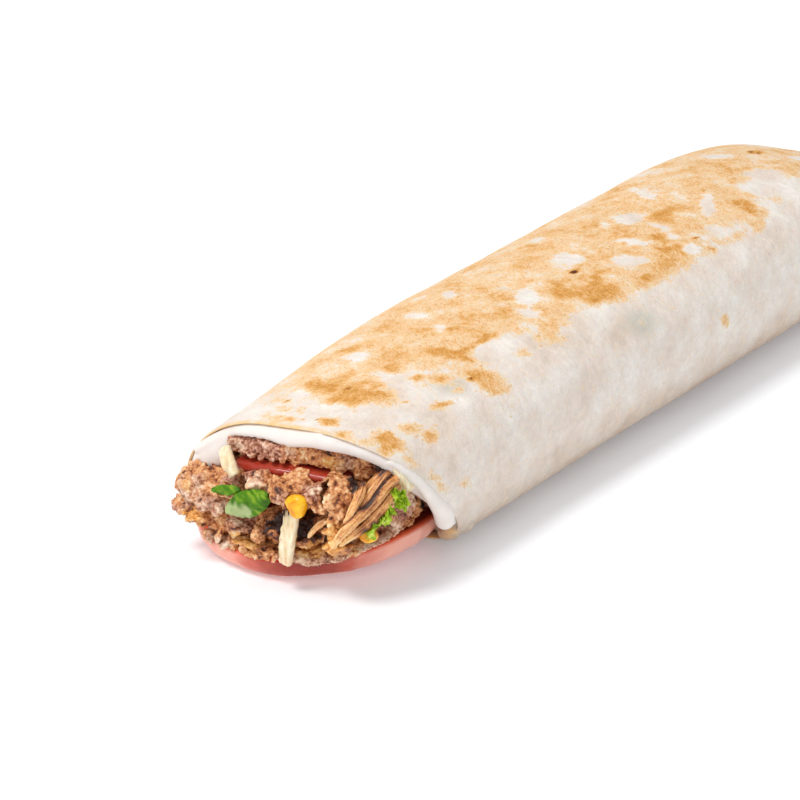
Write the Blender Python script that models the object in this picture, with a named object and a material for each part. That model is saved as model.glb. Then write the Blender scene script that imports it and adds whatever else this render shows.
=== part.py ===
# A filled and griddled tortilla wrap, lying on its flat underside with the open end towards -Y.
# Lengths are in millimetres and turned to metres by MM; the origin is the middle of the underside.
import math

import bmesh
import bpy
import numpy as np
from mathutils import Euler, Vector, noise

MM = 0.001
GAP = 0.35  # left between pieces that touch
ROOM = 0.32  # cut free round a neighbour
FLAT_ANGLE = math.radians(3)  # faces closer than this to one plane are joined after cutting

# Rolled tortilla
BODY_LENGTH = 249.0
BODY_WIDTH = 61.0
BODY_HEIGHT = 44.25
WALL = 1.8
LIP = 0.9  # the wall thins to this at its free edge
LIP_RUN = 7.0
FLAT_DEPTH = 0.9  # pressed off the underside, so that it rests on a flat
PRESSED = 0.7  # anything this near the table lies flat on it
TOP_ROUND = 2.5  # superellipse exponents of the cross-section
BOTTOM_ROUND = 3.0
MOUTH = -BODY_LENGTH / 2
TAIL = BODY_LENGTH / 2

# The mouth sinks on its left shoulder and is cut back low on its right side
DROOP = 8.1
DROOP_REACH = 58.0
DROOP_ANGLE = math.radians(166)
DROOP_SPREAD = 0.85
SETBACK = 36.0
SETBACK_ANGLE = math.radians(-50)
SETBACK_RIGHT = math.radians(120)
SETBACK_LEFT = math.radians(160)

# The far end slopes down to a tucked, rounded fold
FOLD_HEIGHT = 8.0
TAPER_LENGTH = 109.0
TAPER_POWER = 4.0
TUCK_LENGTH = 16.0
CORNER_LENGTH = 40.0
FOLD_WIDTH = 0.62  # of the body's width
PLEATS = 9
PLEAT_DEPTH = 0.9

# Free edge of the roll, low on the left side
LAP_ANGLE = math.radians(216)
LAP_STEP = 1.5
WAVE_DEPTH = 0.55
WAVE_LENGTH = 34.0

SAUCE_FILM = 1.3
SAUCE_GAP = 0.45
TOMATO_RADIUS = 30.6
TOMATO_CENTRE = (-8.3, -27.2)  # x, and how far in front of the mouth
TOMATO_THICK = 6.0
# lower edge of the bottom slice: degrees round the tomato, and height
SLICE_HEM = ((245, 3.4), (252, 3.8), (257, 4.6), (262, 6.0), (267, 7.3), (280, 7.6), (286, 6.6), (292, 5.8),
             (304, 5.6), (312, 6.3), (320, 7.4), (332, 9.8), (344, 12.6), (354, 15.2))


def smooth_step(low, high, value):
    part = min(1.0, max(0.0, (value - low) / (high - low)))
    return part * part * (3 - 2 * part)


def signed_power(value, power):
    return math.copysign(abs(value) ** power, value)


def rounding(run, length, power):
    """1 along the body, falling to 0 with a round nose over the last length before the end."""
    part = min(1.0, max(0.0, 1 - run / length))
    return math.sqrt(max(0.0, 1 - part**power))


def outline(angle, half_width, low, high):
    exponent = TOP_ROUND if math.sin(angle) > 0 else BOTTOM_ROUND
    half_height = (high - low) / 2
    x = half_width * signed_power(math.cos(angle), 2 / exponent)
    return x, low + half_height * (1 + signed_power(math.sin(angle), 2 / exponent))


def rim_setback(angle):
    x, z = outline(angle, BODY_WIDTH / 2, 0, BODY_HEIGHT)
    turned = math.atan2(z - BODY_HEIGHT / 2, x) - SETBACK_ANGLE
    turned = (turned + math.pi) % (2 * math.pi) - math.pi
    reach = SETBACK_RIGHT if turned > 0 else SETBACK_LEFT
    return SETBACK * (0.5 + 0.5 * math.cos(math.pi * min(1.0, abs(turned) / reach)))


def skin(angle, y, inset=0.0, lap=False):
    """A point of the body's wall, inset millimetres inside its outer face."""
    run = TAIL - inset - y
    high = FOLD_HEIGHT + (BODY_HEIGHT - FOLD_HEIGHT) * rounding(run, TAPER_LENGTH, TAPER_POWER)
    low = FOLD_HEIGHT * (1 - rounding(run, TUCK_LENGTH, 2))
    half_width = BODY_WIDTH / 2 * (FOLD_WIDTH + (1 - FOLD_WIDTH) * rounding(run, CORNER_LENGTH, 3))
    low_flat = low + min(inset, (high - low) / 2)
    x, z = outline(angle, half_width - inset, low_flat, max(low_flat, high - inset))
    near = max(0.0, 1 - (y - MOUTH) / DROOP_REACH)
    z -= DROOP * near * max(0.0, math.cos(angle - DROOP_ANGLE)) ** DROOP_SPREAD
    z = max(low_flat, z - FLAT_DEPTH)
    swell = WAVE_DEPTH * noise.noise((2 * math.cos(angle), y / WAVE_LENGTH, 2 * math.sin(angle)))
    pleat = math.sin(PLEATS * angle + 0.8) * PLEAT_DEPTH * smooth_step(26, 4, run)
    swell = (swell + pleat) * smooth_step(2, 9, z)
    if lap:
        past = LAP_ANGLE - angle % (2 * math.pi)
        swell += LAP_STEP * smooth_step(0, 0.035, past) * smooth_step(0.75, 0.1, past)
    outward = Vector((x, 0, z - (low + high) / 2))
    outward.normalize()
    point = Vector((x, y, z)) + outward * swell
    if inset == 0 and point.z < PRESSED:
        point.z = 0
    return point


def floor_height(x, inset=WALL):
    """Height of the inner floor of the body at x."""
    half_width = BODY_WIDTH / 2 - inset
    half_height = BODY_HEIGHT / 2 - inset
    side = min(1.0, abs(x) / half_width) ** BOTTOM_ROUND
    rise = half_height * (1 - (1 - side) ** (1 / BOTTOM_ROUND))
    return max(inset, inset + rise - FLAT_DEPTH)


def wall_at(angle, y):
    """Thickness of the wall, which thins out towards the rim."""
    past_rim = y - MOUTH - rim_setback(angle)
    return LIP + (WALL - LIP) * smooth_step(0, LIP_RUN, past_rim)


def even_angles(count):
    """Angles that space points evenly round the body's cross-section."""
    fine = [2 * math.pi * i / 720 for i in range(721)]
    points = [Vector(outline(a, BODY_WIDTH / 2, 0, BODY_HEIGHT)) for a in fine]
    travelled = [0.0]
    for a, b in zip(points, points[1:]):
        travelled.append(travelled[-1] + (b - a).length)
    angles = []
    step = 0
    for i in range(count):
        wanted = travelled[-1] * i / count
        while travelled[step + 1] < wanted:
            step += 1
        part = (wanted - travelled[step]) / (travelled[step + 1] - travelled[step])
        angles.append(fine[step] + part * (fine[step + 1] - fine[step]))
    return angles


def new_object(name, bm, collection):
    bmesh.ops.remove_doubles(bm, verts=bm.verts, dist=0.01)
    bmesh.ops.recalc_face_normals(bm, faces=bm.faces)
    bmesh.ops.scale(bm, vec=(MM, MM, MM), verts=bm.verts)
    mesh = bpy.data.meshes.new(name)
    bm.to_mesh(mesh)
    bm.free()
    mesh.shade_smooth()
    mesh.set_sharp_from_angle(angle=math.radians(50))
    obj = bpy.data.objects.new(name, mesh)
    collection.objects.link(obj)
    return obj


def loft(name, rings, collection):
    """A closed solid through rings of equally many points, with a fan at each end."""
    bm = bmesh.new()
    layers = [[bm.verts.new(point) for point in ring] for ring in rings]
    for near, far in zip(layers, layers[1:]):
        for i in range(len(near)):
            bm.faces.new((near[i - 1], near[i], far[i], far[i - 1]))
    for layer, ring in ((layers[0], rings[0]), (layers[-1], rings[-1])):
        middle = bm.verts.new(sum((Vector(p) for p in ring), Vector()) / len(ring))
        for i in range(len(layer)):
            bm.faces.new((layer[i - 1], layer[i], middle))
    return new_object(name, bm, collection)


def tortilla(collection):
    angles = even_angles(34)
    lap_pair = [LAP_ANGLE - 0.035, LAP_ANGLE + 0.003]
    angles = sorted([a for a in angles if min(abs(a - b) for b in lap_pair) > 0.06] + lap_pair)
    rims = [MOUTH + rim_setback(a) for a in angles]
    outer_runs = [0.001, 0.035, 0.08] + [0.08 + 0.06 * k for k in range(1, 11)]
    outer_runs += [0.735, 0.785, 0.83, 0.87, 0.905, 0.935, 0.96, 0.978, 0.99, 0.996]
    inner_runs = [0.0, 0.015, 0.035, 0.08, 0.16, 0.3, 0.45, 0.6, 0.72, 0.82, 0.9, 0.955]
    nose = 0.3  # the edge is rounded over this far
    inner_end = TAIL - WALL - 1
    rings = []
    for run in reversed(outer_runs):
        rings.append([skin(a, r + nose + run * (TAIL - r - nose), 0, True) for a, r in zip(angles, rims)])
    rings.append([skin(a, r, LIP / 2) for a, r in zip(angles, rims)])
    for run in inner_runs:
        places = [r + nose + run * (inner_end - r - nose) for r in rims]
        rings.append([skin(a, y, wall_at(a, y)) for a, y in zip(angles, places)])
    return loft("tortilla", rings, collection)


def sauce(collection):
    """A layer under the top of the tortilla, bulging at the mouth and running down its right side."""
    rings = []
    start, end, count = math.radians(184), math.radians(-21), 26
    for i in range(count + 1):
        part = i / count
        angle = start + (end - start) * part
        turn = math.degrees(angle)
        drip = smooth_step(40, 22, turn)
        front = MOUTH + rim_setback(angle) - 0.2 - 1.4 * drip
        thick = 6.4 - 2.2 * smooth_step(150, 110, turn) - 1.6 * smooth_step(75, 45, turn)
        thick += 2.6 * drip
        round_end = math.sqrt(smooth_step(-0.01, 0.05, part) * smooth_step(1.01, 0.95, part))
        thick *= 0.12 + 0.88 * round_end
        nose = min(1.6, thick / 2)
        depth = 3.0 + 225 * smooth_step(45, 60, turn) * smooth_step(150, 130, turn)
        ring = []
        for step in range(7):
            swing = math.pi * step / 6 - math.pi / 2
            y = front + nose * (1 - max(0, math.cos(swing)) ** 0.6)
            across = 0.5 + 0.5 * math.sin(swing)
            ring.append(skin(angle, y, wall_at(angle, y) + SAUCE_GAP + thick * across))
        back = front + nose
        for share in (0.04, 0.3, 1.0):
            left = SAUCE_FILM + (thick - SAUCE_FILM) * max(0, 1 - share * 16)
            y = back + depth * share
            ring.append(skin(angle, y, wall_at(angle, y) + SAUCE_GAP + min(thick, left)))
        for share in (1.0, 0.3, 0.04):
            y = back + depth * share
            ring.append(skin(angle, y, wall_at(angle, y) + SAUCE_GAP))
        rings.append(ring)
    return loft("sauce", rings, collection)


def draped_height(x, y):
    """Underside of the tomato slice: on the tortilla's floor inside, down on the table in front."""
    in_front = smooth_step(MOUTH + 22, MOUTH - 3, y)
    carried = floor_height(x) + GAP
    return carried + (GAP - carried) * in_front * smooth_step(16, -4, x)


def tomato_lower(collection):
    rings = []
    rim = 1.1
    # in from the rim, and up from the underside
    profile = [(21.4, 0), (11.6, 0), (4.3, 0), (3.0, 0), (1.3, 0.9), (0.3, 2.3), (0, 3.6)]
    profile += [(0, TOMATO_THICK - rim), (rim, TOMATO_THICK)]
    profile += [(back, TOMATO_THICK) for back in (4.3, 11.6, 21.4)]
    for inward, height in profile:
        share = 1 - inward / TOMATO_RADIUS
        ring = []
        for i in range(36):
            turn = 2 * math.pi * i / 36
            radius = TOMATO_RADIUS * share * (1 + 0.055 * math.cos(turn - math.radians(212)))
            x = TOMATO_CENTRE[0] + radius * math.cos(turn)
            y = MOUTH - TOMATO_CENTRE[1] + radius * math.sin(turn)
            inside = smooth_step(MOUTH + 5, MOUTH + 14, y)
            if x < -18:
                x += (-18 + 7 * math.tanh((x + 18) / 7) - x) * inside
            ring.append((x, y, draped_height(x, y) + height))
        rings.append(ring)
    return loft("tomato_lower", rings, collection)


def tomato_top(x, y):
    return draped_height(x, y) + TOMATO_THICK


def slab(name, collection, left, right, top, thick, front, depth, wave=0.35, columns=14, rows=5):
    """A thin wavy slice: top and front are functions of x, with a rounded front edge."""
    rings = []
    for c in range(columns + 1):
        part = c / columns
        x = left + (right - left) * part
        taper = math.sin(math.pi * (0.04 + 0.92 * part))
        edge = 0.35 + 0.65 * min(1.0, math.sqrt(taper * 2.2))
        z, y, full = top(x), front(x), thick * edge
        rough = [wave * noise.noise((x / 4, k * 2.1, z / 5)) for k in range(8)]
        ring = [
            (x, y + 1.1 + rough[0], z),
            (x, y + rough[1], z - full * 0.25),
            (x, y + rough[2], z - full * 0.7),
            (x, y + 1.0 + rough[3], z - full),
        ]
        for r in range(1, rows + 1):
            ring.append((x, y + depth * r / rows, z - full + rough[4] * (r < 3)))
        for r in range(rows, 0, -1):
            ring.append((x, y + depth * r / rows, z + rough[5] * (r < 3)))
        rings.append(ring)
    return loft(name, rings, collection)


def lump(name, place, size, collection, seed, rough=0.28, turn=(0, 0, 0), fine=2):
    """An uneven chunk: a round form pushed in and out by noise."""
    bm = bmesh.new()
    bmesh.ops.create_icosphere(bm, subdivisions=fine, radius=1)
    spin = Euler([math.radians(a) for a in turn]).to_matrix()
    for vert in bm.verts:
        where = vert.co * 1.7 + Vector((seed * 3.7, seed * 1.3, seed * 2.9))
        push = 1 + rough * (noise.noise(where) + 0.55 * noise.noise(where * 2.3))
        vert.co = spin @ Vector([c * s * push for c, s in zip(vert.co, size)])
        vert.co += Vector((place[0], MOUTH - place[1], place[2]))
    return new_object(name, bm, collection)


def strand(name, points, thick, collection, flat=0.7, sides=6):
    """A tapering strand of pulled meat through points given as x, forward, z."""
    path = [Vector((p[0], MOUTH - p[1], p[2])) for p in points]
    smoothed = []
    for i in range(len(path) - 1):
        before = path[max(0, i - 1)]
        after = path[min(len(path) - 1, i + 2)]
        for k in range(3):
            t = k / 3
            a, b = path[i], path[i + 1]
            bend = (b - before) * 0.5, (after - a) * 0.5
            smoothed.append(
                a * (2 * t**3 - 3 * t**2 + 1) + bend[0] * (t**3 - 2 * t**2 + t)
                + b * (3 * t**2 - 2 * t**3) + bend[1] * (t**3 - t**2)
            )
    smoothed.append(path[-1])
    rings = []
    for i, point in enumerate(smoothed):
        ahead = smoothed[min(i + 1, len(smoothed) - 1)] - smoothed[max(i - 1, 0)]
        ahead.normalize()
        side = ahead.cross(Vector((0, 1, 0))).normalized()
        out = side.cross(ahead)
        part = i / (len(smoothed) - 1)
        radius = thick / 2 * (0.3 + 0.7 * math.sin(math.pi * (0.12 + 0.8 * part)) ** 0.6)
        ring = []
        for k in range(sides):
            turn = 2 * math.pi * k / sides
            ring.append(point + side * radius * math.cos(turn) + out * radius * flat * math.sin(turn))
        rings.append(ring)
    return loft(name, rings, collection)


def solid_copy(obj, grow, collection):
    """A guide copy of a piece, grown outwards, to cut its neighbours with."""
    copy = bpy.data.objects.new(obj.name + "_room", obj.data.copy())
    collection.objects.link(copy)
    bm = bmesh.new()
    bm.from_mesh(copy.data)
    bm.normal_update()
    moves = [vert.normal * grow * MM for vert in bm.verts]
    for vert, move in zip(bm.verts, moves):
        vert.co += move
    bm.to_mesh(copy.data)
    bm.free()
    return copy


def apply_modifiers(obj):
    graph = bpy.context.evaluated_depsgraph_get()
    mesh = bpy.data.meshes.new_from_object(obj.evaluated_get(graph))
    obj.modifiers.clear()
    obj.data = mesh


def keep_largest(obj):
    """Drops the loose scraps that cutting leaves, and the needless edges on flat ground."""
    bm = bmesh.new()
    bm.from_mesh(obj.data)
    unseen = set(bm.faces)
    islands = []
    while unseen:
        island = [unseen.pop()]
        stack = list(island)
        while stack:
            for edge in stack.pop().edges:
                for face in edge.link_faces:
                    if edge.is_manifold and face in unseen:
                        unseen.discard(face)
                        stack.append(face)
                        island.append(face)
        islands.append(island)
    islands.sort(key=lambda faces: sum(face.calc_area() for face in faces))
    scraps = [face for island in islands[:-1] for face in island]
    bmesh.ops.delete(bm, geom=scraps, context="FACES")
    bmesh.ops.dissolve_limit(bm, angle_limit=FLAT_ANGLE, verts=bm.verts, edges=bm.edges)
    bmesh.ops.triangulate(bm, faces=bm.faces)
    bm.to_mesh(obj.data)
    bm.free()


def fuse(name, pieces, collection):
    """One solid of overlapping pieces."""
    joined = bpy.data.collections.new(name + "_pieces")
    bpy.context.scene.collection.children.link(joined)
    base = pieces[0]
    for piece in pieces[1:]:
        for owner in list(piece.users_collection):
            owner.objects.unlink(piece)
        joined.objects.link(piece)
    union = base.modifiers.new("join", "BOOLEAN")
    union.operation = "UNION"
    union.operand_type = "COLLECTION"
    union.solver = "MANIFOLD"
    union.collection = joined
    bpy.context.view_layer.update()
    apply_modifiers(base)
    for piece in list(joined.objects):
        bpy.data.objects.remove(piece)
    bpy.data.collections.remove(joined)
    base.name = name
    keep_largest(base)
    return base


def boxes_meet(one, other):
    """Whether the pieces' boxes, with the gap round them, overlap."""
    spans = []
    for obj in (one, other):
        points = [vert.co for vert in obj.data.vertices]
        spans.append([(min(p[k] for p in points), max(p[k] for p in points)) for k in range(3)])
    return all(a[0] - GAP * MM < b[1] and b[0] - GAP * MM < a[1] for a, b in zip(*spans))


def carve(obj, neighbours, rooms):
    """Cuts room for the neighbours out of a piece."""
    for neighbour in neighbours:
        room = solid_copy(neighbour, ROOM, rooms)
        cut = obj.modifiers.new("room", "BOOLEAN")
        cut.operation = "DIFFERENCE"
        cut.solver = "MANIFOLD"
        cut.object = room
        bpy.context.view_layer.update()
        apply_modifiers(obj)
        bpy.data.objects.remove(room)
    keep_largest(obj)


def heap_core(collection):
    """The meat that fills the wrap, set back from the mouth."""
    angles = even_angles(20)
    rings = []
    for run in (0.0, 0.03, 0.08, 0.15, 0.23, 0.36, 0.5, 0.64, 0.76, 0.86, 0.93):
        ring = []
        for a in angles:
            front = MOUTH + 6 + 0.6 * rim_setback(a)
            y = front + run * (TAIL - 12 - front)
            film = (SAUCE_FILM + GAP + 0.5) * smooth_step(15, 45, math.degrees(a)) * (a < math.pi)
            point = skin(a, y, WALL + GAP + 0.25 + film)
            near = smooth_step(MOUTH + 66, MOUTH + 52, y)
            point.z = max(point.z, (floor_height(point.x) + TOMATO_THICK + 4) * near)
            point.z = min(point.z, 99 + (27.6 - 99) * near)
            ring.append(point)
        rings.append(ring)
    return loft("heap_core", rings, collection)


def meat_heap(collection):
    """The heap that runs through the wrap, with the chunks that show at the mouth fused on."""
    chunks = [
        ((-20.5, -2.0, 18.3), (9.6, 10.0, 6.4), 0.3, 2),
        ((-12.5, -3.0, 22.0), (6.6, 10.0, 4.8), 0.35, 2),
        ((-27.4, 3.6, 13.0), (4.0, 3.4, 2.6), 0.3, 1),
        ((-22.0, 2.0, 12.4), (5.6, 6.0, 3.8), 0.4, 2),
        ((-3.6, -1.0, 25.8), (5.2, 9.0, 4.2), 0.45, 2),
        ((5.4, -0.6, 26.2), (5.4, 9.0, 4.6), 0.45, 2),
        ((6.4, 4.0, 22.6), (2.6, 4.0, 3.4), 0.35, 1),
        ((13.0, -2.4, 26.2), (4.6, 8.0, 4.4), 0.3, 2),
        ((0.5, -3.4, 14.6), (7.5, 10.0, 5.4), 0.35, 2),
        ((-11.8, -0.6, 11.4), (6.0, 7.0, 4.2), 0.45, 2),
        ((-17.6, 0.4, 11.8), (4.6, 6.0, 3.8), 0.45, 1),
        ((-4.6, -1.6, 11.6), (5.6, 7.0, 3.4), 0.45, 1),
        ((5.4, -3.0, 12.0), (5.0, 7.0, 3.2), 0.4, 1),
    ]
    pieces = [heap_core(collection)]
    for i, (place, size, rough, fine) in enumerate(chunks):
        pieces.append(lump(f"chunk_{i}", place, size, collection, i + 1, rough, fine=fine))
    return fuse("meat_heap", pieces, collection)


def meat_shreds(collection):
    pieces = [
        lump("shred_top", (17.3, -1.5, 27.4), (5.0, 4.5, 5.2), collection, 14),
        lump("shred_core", (19.6, -4.4, 23.6), (4.2, 5.2, 6.4), collection, 15),
        lump("shred_mid", (17.4, -0.6, 20.4), (3.2, 3.8, 5.6), collection, 17),
        lump("shred_foot", (16.4, -0.8, 14.6), (4.6, 4.4, 3.6), collection, 16),
    ]
    strands = [
        (4.0, ((23.6, -11, 32), (23.4, -8.3, 30), (23.2, -5.8, 28.2), (23, -2.9, 26.2), (22, -0.1, 23))),
        (2.5, ((22.2, -3.3, 30.8), (22.6, -1.6, 29.4), (22.6, 0.4, 27.2), (21.8, 1.7, 24),
               (20.6, 2.3, 20.6))),
        (3.1, ((26, -10.9, 30.4), (25.2, -8.7, 29.4), (24.4, -6, 27.4), (23.6, -3, 25.4),
               (22.6, 0, 23.6), (21.2, 2, 20.8), (18.4, 2.6, 16.6))),
        (3.1, ((26.2, -11, 28), (25.4, -8.9, 26.6), (24.6, -6.6, 24.2), (23.4, -3.6, 21.6), (22, -0.7, 19.4),
               (19.6, 1.9, 16.8))),
    ]
    for i, (thick, route) in enumerate(strands):
        pieces.append(strand(f"shred_strand_{i}", route, thick, collection, 0.85))
    curl = ((15.6, -1.0, 20.6), (14.0, 1.4, 20.0), (12.6, 2.6, 18.0), (11.4, 3.0, 16.2))
    pieces.append(strand("shred_curl", curl, 1.9, collection))
    return fuse("meat_shreds", pieces, collection)


def slice_line(x):
    """How far back the front of the layers lies, following the slanted mouth."""
    return MOUTH - 0.8 + 9.0 * max(0.0, (x + 4) / 26) ** 1.5


def ceiling(x):
    """Lower face of the sauce above the top slice, near the mouth."""
    return 36.3 - 0.007 * (x - 5) ** 2


def meat_slice_top(collection):
    return slab("meat_slice_top", collection, -14.6, 22.4, ceiling, 5.6, slice_line, 62, 0.7, 20)


def tomato_upper(collection):
    def top(x):
        return ceiling(x) - 6.1

    def front(x):
        return slice_line(x) - 1.4

    return slab("tomato_upper", collection, -12.5, 14.0, top, 2.7, front, 34, 0.1, 12, 4)


def meat_slice_bottom(collection):
    """The thin slice that lies on the tomato, hangs over its edge and climbs the right wall."""
    rings = []
    thick = 2.6
    start, end, columns = 245, 354, 26
    for c in range(columns + 1):
        degrees = start + (end - start) * c / columns
        turn = math.radians(degrees)
        climb = smooth_step(322, 354, degrees)
        edge = (TOMATO_CENTRE[0] + TOMATO_RADIUS * math.cos(turn), MOUTH - TOMATO_CENTRE[1])
        edge = (edge[0], edge[1] + TOMATO_RADIUS * math.sin(turn))
        top = tomato_top(*edge)
        hem = float(np.interp(degrees, *zip(*SLICE_HEM))) - top
        lift, drop = max(0.0, hem), max(0.0, -hem)
        ragged = [0.5 * noise.noise((degrees / 4.5, k * 3.1, 0.5)) for k in range(4)]
        outline_points = [
            (0.5 + thick * 0.7 + ragged[0], 0.7 - drop + ragged[1]),
            (0.7, -drop + ragged[1]),
            (0.5, 0.0),
            (-3.0, GAP),
            (-22.0, GAP),
            (-22.0, GAP + thick),
            (-3.0, GAP + thick + ragged[2]),
            (0.4, thick + ragged[2]),
            (0.5 + thick * 0.75 + ragged[0], 1.6 - 0.45 * drop + ragged[3]),
        ]
        ring = []
        for out, height in outline_points:
            radius = TOMATO_RADIUS + out - 2.5 * climb
            x = min(TOMATO_CENTRE[0] + radius * math.cos(turn), 27.2)
            y = MOUTH - TOMATO_CENTRE[1] + radius * math.sin(turn)
            lean = climb * 4.0 * (height - GAP) / thick
            ring.append((min(x + 3.5 * climb, 24.6) - lean, y, top + height + lift))
        rings.append(ring)
    band = loft("slice_band", rings, collection)
    fold = lump("slice_fold", (20.8, -20.5, 18.8), (2.6, 7.8, 6.8), collection, 24, 0.2)
    return fuse("meat_slice_bottom", [band, fold], collection)


def onion_strip(name, start, end, width, thick, collection, bow=0.6):
    """A flat strip of raw onion from start to end, bowed outwards a little."""
    a, b = (Vector((p[0], MOUTH - p[1], p[2])) for p in (start, end))
    ahead = (b - a).normalized()
    across = ahead.cross(Vector((0, -1, 0))).normalized()
    out = ahead.cross(across).normalized()
    rings = []
    for i in range(7):
        part = i / 6
        middle = a + (b - a) * part - out * bow * math.sin(math.pi * part)
        half = width / 2 * (0.82 + 0.18 * math.sin(math.pi * part)) * (1 - 0.16 * part)
        ring = []
        for k in range(8):
            turn = 2 * math.pi * k / 8
            ring.append(
                middle
                + across * half * signed_power(math.cos(turn), 0.5)
                + out * thick / 2 * signed_power(math.sin(turn), 0.5)
            )
        rings.append(ring)
    return loft(name, rings, collection)


def corn(name, place, size, turn, collection):
    """A kernel: a rounded wedge, broad at its crown."""
    bm = bmesh.new()
    bmesh.ops.create_icosphere(bm, subdivisions=2, radius=1)
    spin = Euler([math.radians(a) for a in turn]).to_matrix()
    for vert in bm.verts:
        point = Vector([signed_power(c, 0.85) for c in vert.co])
        point.x *= 1 + 0.25 * point.z
        point = spin @ Vector([c * s / 2 for c, s in zip(point, size)])
        vert.co = point + Vector((place[0], MOUTH - place[1], place[2]))
    return new_object(name, bm, collection)


def leaf(name, root, tip, width, thick, cup, collection, lean=0.0):
    """A thin leaf from root to tip, cupped along its midrib."""
    a, b = (Vector((p[0], MOUTH - p[1], p[2])) for p in (root, tip))
    ahead = (b - a).normalized()
    across = ahead.cross(Vector((0, -1, lean))).normalized()
    out = across.cross(ahead).normalized()
    rings = []
    count = 9
    for i in range(count + 1):
        part = i / count
        half = width / 2 * max(0.1, math.sin(math.pi * (0.06 + 0.9 * part)) ** 0.75)
        middle = a + (b - a) * part
        ring = []
        for side in (-1.0, -0.5, 0.0, 0.5, 1.0):
            rise = cup * (1 - side * side) + 0.25 * math.sin(9 * part + 3 * side)
            ring.append(middle + across * half * side + out * (rise + thick / 2))
        for side in (1.0, 0.5, 0.0, -0.5, -1.0):
            rise = cup * (1 - side * side) + 0.25 * math.sin(9 * part + 3 * side)
            ring.append(middle + across * half * side + out * (rise - thick / 2))
        rings.append(ring)
    return loft(name, rings, collection)


def parsley(collection):
    """A sprig: a thin stem with frilled leaflets."""
    stem = ((23.2, -2.0, 17.2), (25.0, -5.0, 20.2), (26.8, -8.0, 23.4), (28.0, -10.2, 25.8))
    pieces = [strand("parsley_stem", stem, 1.1, collection, 0.9)]
    leaflets = [
        ((28.0, -10.2, 25.4), 3.2, 1),
        ((26.8, -8.6, 27.4), 2.4, 2),
        ((26.0, -6.4, 22.2), 2.8, 3),
        ((23.9, -3.2, 18.6), 2.6, 4),
    ]
    for place, radius, seed in leaflets:
        bm = bmesh.new()
        bmesh.ops.create_icosphere(bm, subdivisions=2, radius=1)
        for vert in bm.verts:
            frill = 1 + 0.28 * math.sin(5 * math.atan2(vert.co.z, vert.co.x) + seed)
            point = Vector((vert.co.x * radius * frill * 0.8, vert.co.y * 0.9, vert.co.z * radius * frill))
            point.y += 0.3 * math.sin(4 * vert.co.x + seed)
            vert.co = point + Vector((place[0], MOUTH - place[1], place[2]))
        pieces.append(new_object(f"parsley_leaflet_{seed}", bm, collection))
    return fuse("parsley", pieces, collection)


def finish(obj, colour, roughness):
    material = bpy.data.materials.new(obj.name)
    material.use_nodes = True
    shader = material.node_tree.nodes["Principled BSDF"]
    shader.inputs["Base Color"].default_value = (*colour, 1)
    shader.inputs["Roughness"].default_value = roughness
    shader.inputs["Metallic"].default_value = 0
    material.diffuse_color = (*colour, 1)
    obj.data.materials.clear()
    obj.data.materials.append(material)


def build():
    for obj in list(bpy.data.objects):
        bpy.data.objects.remove(obj)
    wrap = bpy.data.collections.new("chicken_wrap")
    rooms = bpy.data.collections.new("rooms")
    for collection in (wrap, rooms):
        bpy.context.scene.collection.children.link(collection)

    shell = tortilla(wrap)
    garlic = sauce(wrap)
    tomato = tomato_lower(wrap)
    top_slice = meat_slice_top(wrap)
    red_slice = tomato_upper(wrap)
    base_slice = meat_slice_bottom(wrap)
    onions = [
        onion_strip("onion_left", (-13.6, 3.6, 32.0), (-9.4, 5.0, 26.6), 4.4, 1.7, wrap),
        onion_strip("onion_centre", (7.6, 4.6, 22.2), (4.8, 4.2, 7.6), 4.6, 1.8, wrap),
        onion_strip("onion_right", (23.4, -10.8, 33.0), (26.3, -14.4, 26.2), 6.4, 2.4, wrap),
    ]
    kernels = [
        corn("corn_centre", (10.4, 6.6, 25.4), (5.8, 5.0, 6.6), (0, -12, 10), wrap),
        corn("corn_right", (22.2, -4.6, 17.2), (4.8, 4.2, 3.6), (0, 30, 20), wrap),
    ]
    leaves = [
        leaf("leaf_large", (-9.6, 7.6, 18.4), (2.4, 6.6, 25.4), 6.6, 0.7, 0.8, wrap),
        leaf("leaf_small", (-14.0, 8.0, 22.6), (-6.4, 6.4, 24.2), 2.6, 0.6, 0.3, wrap),
    ]
    herb = parsley(wrap)
    shreds = meat_shreds(wrap)
    heap = meat_heap(wrap)

    layers = [shell, tomato, top_slice, red_slice, base_slice, garlic]
    layers += [*onions, *kernels, *leaves, shreds, herb, heap]
    for i, obj in enumerate(layers[1:], 1):
        carve(obj, [other for other in layers[:i] if boxes_meet(obj, other)], rooms)
    bpy.data.collections.remove(rooms)

    colours = {
        "tortilla": ((0.78, 0.66, 0.5), 0.7),
        "sauce": ((0.86, 0.83, 0.78), 0.3),
        "tomato": ((0.6, 0.1, 0.05), 0.25),
        "meat": ((0.3, 0.15, 0.09), 0.5),
        "onion": ((0.8, 0.74, 0.5), 0.3),
        "corn": ((0.85, 0.5, 0.05), 0.3),
        "leaf": ((0.08, 0.25, 0.04), 0.45),
        "parsley": ((0.12, 0.38, 0.04), 0.5),
    }
    for obj in layers:
        finish(obj, *colours[obj.name.split("_")[0]])


build()
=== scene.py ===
import math
import random
from functools import partial

import bmesh
import bpy
import numpy as np
from mathutils import Matrix, Vector, noise


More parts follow.
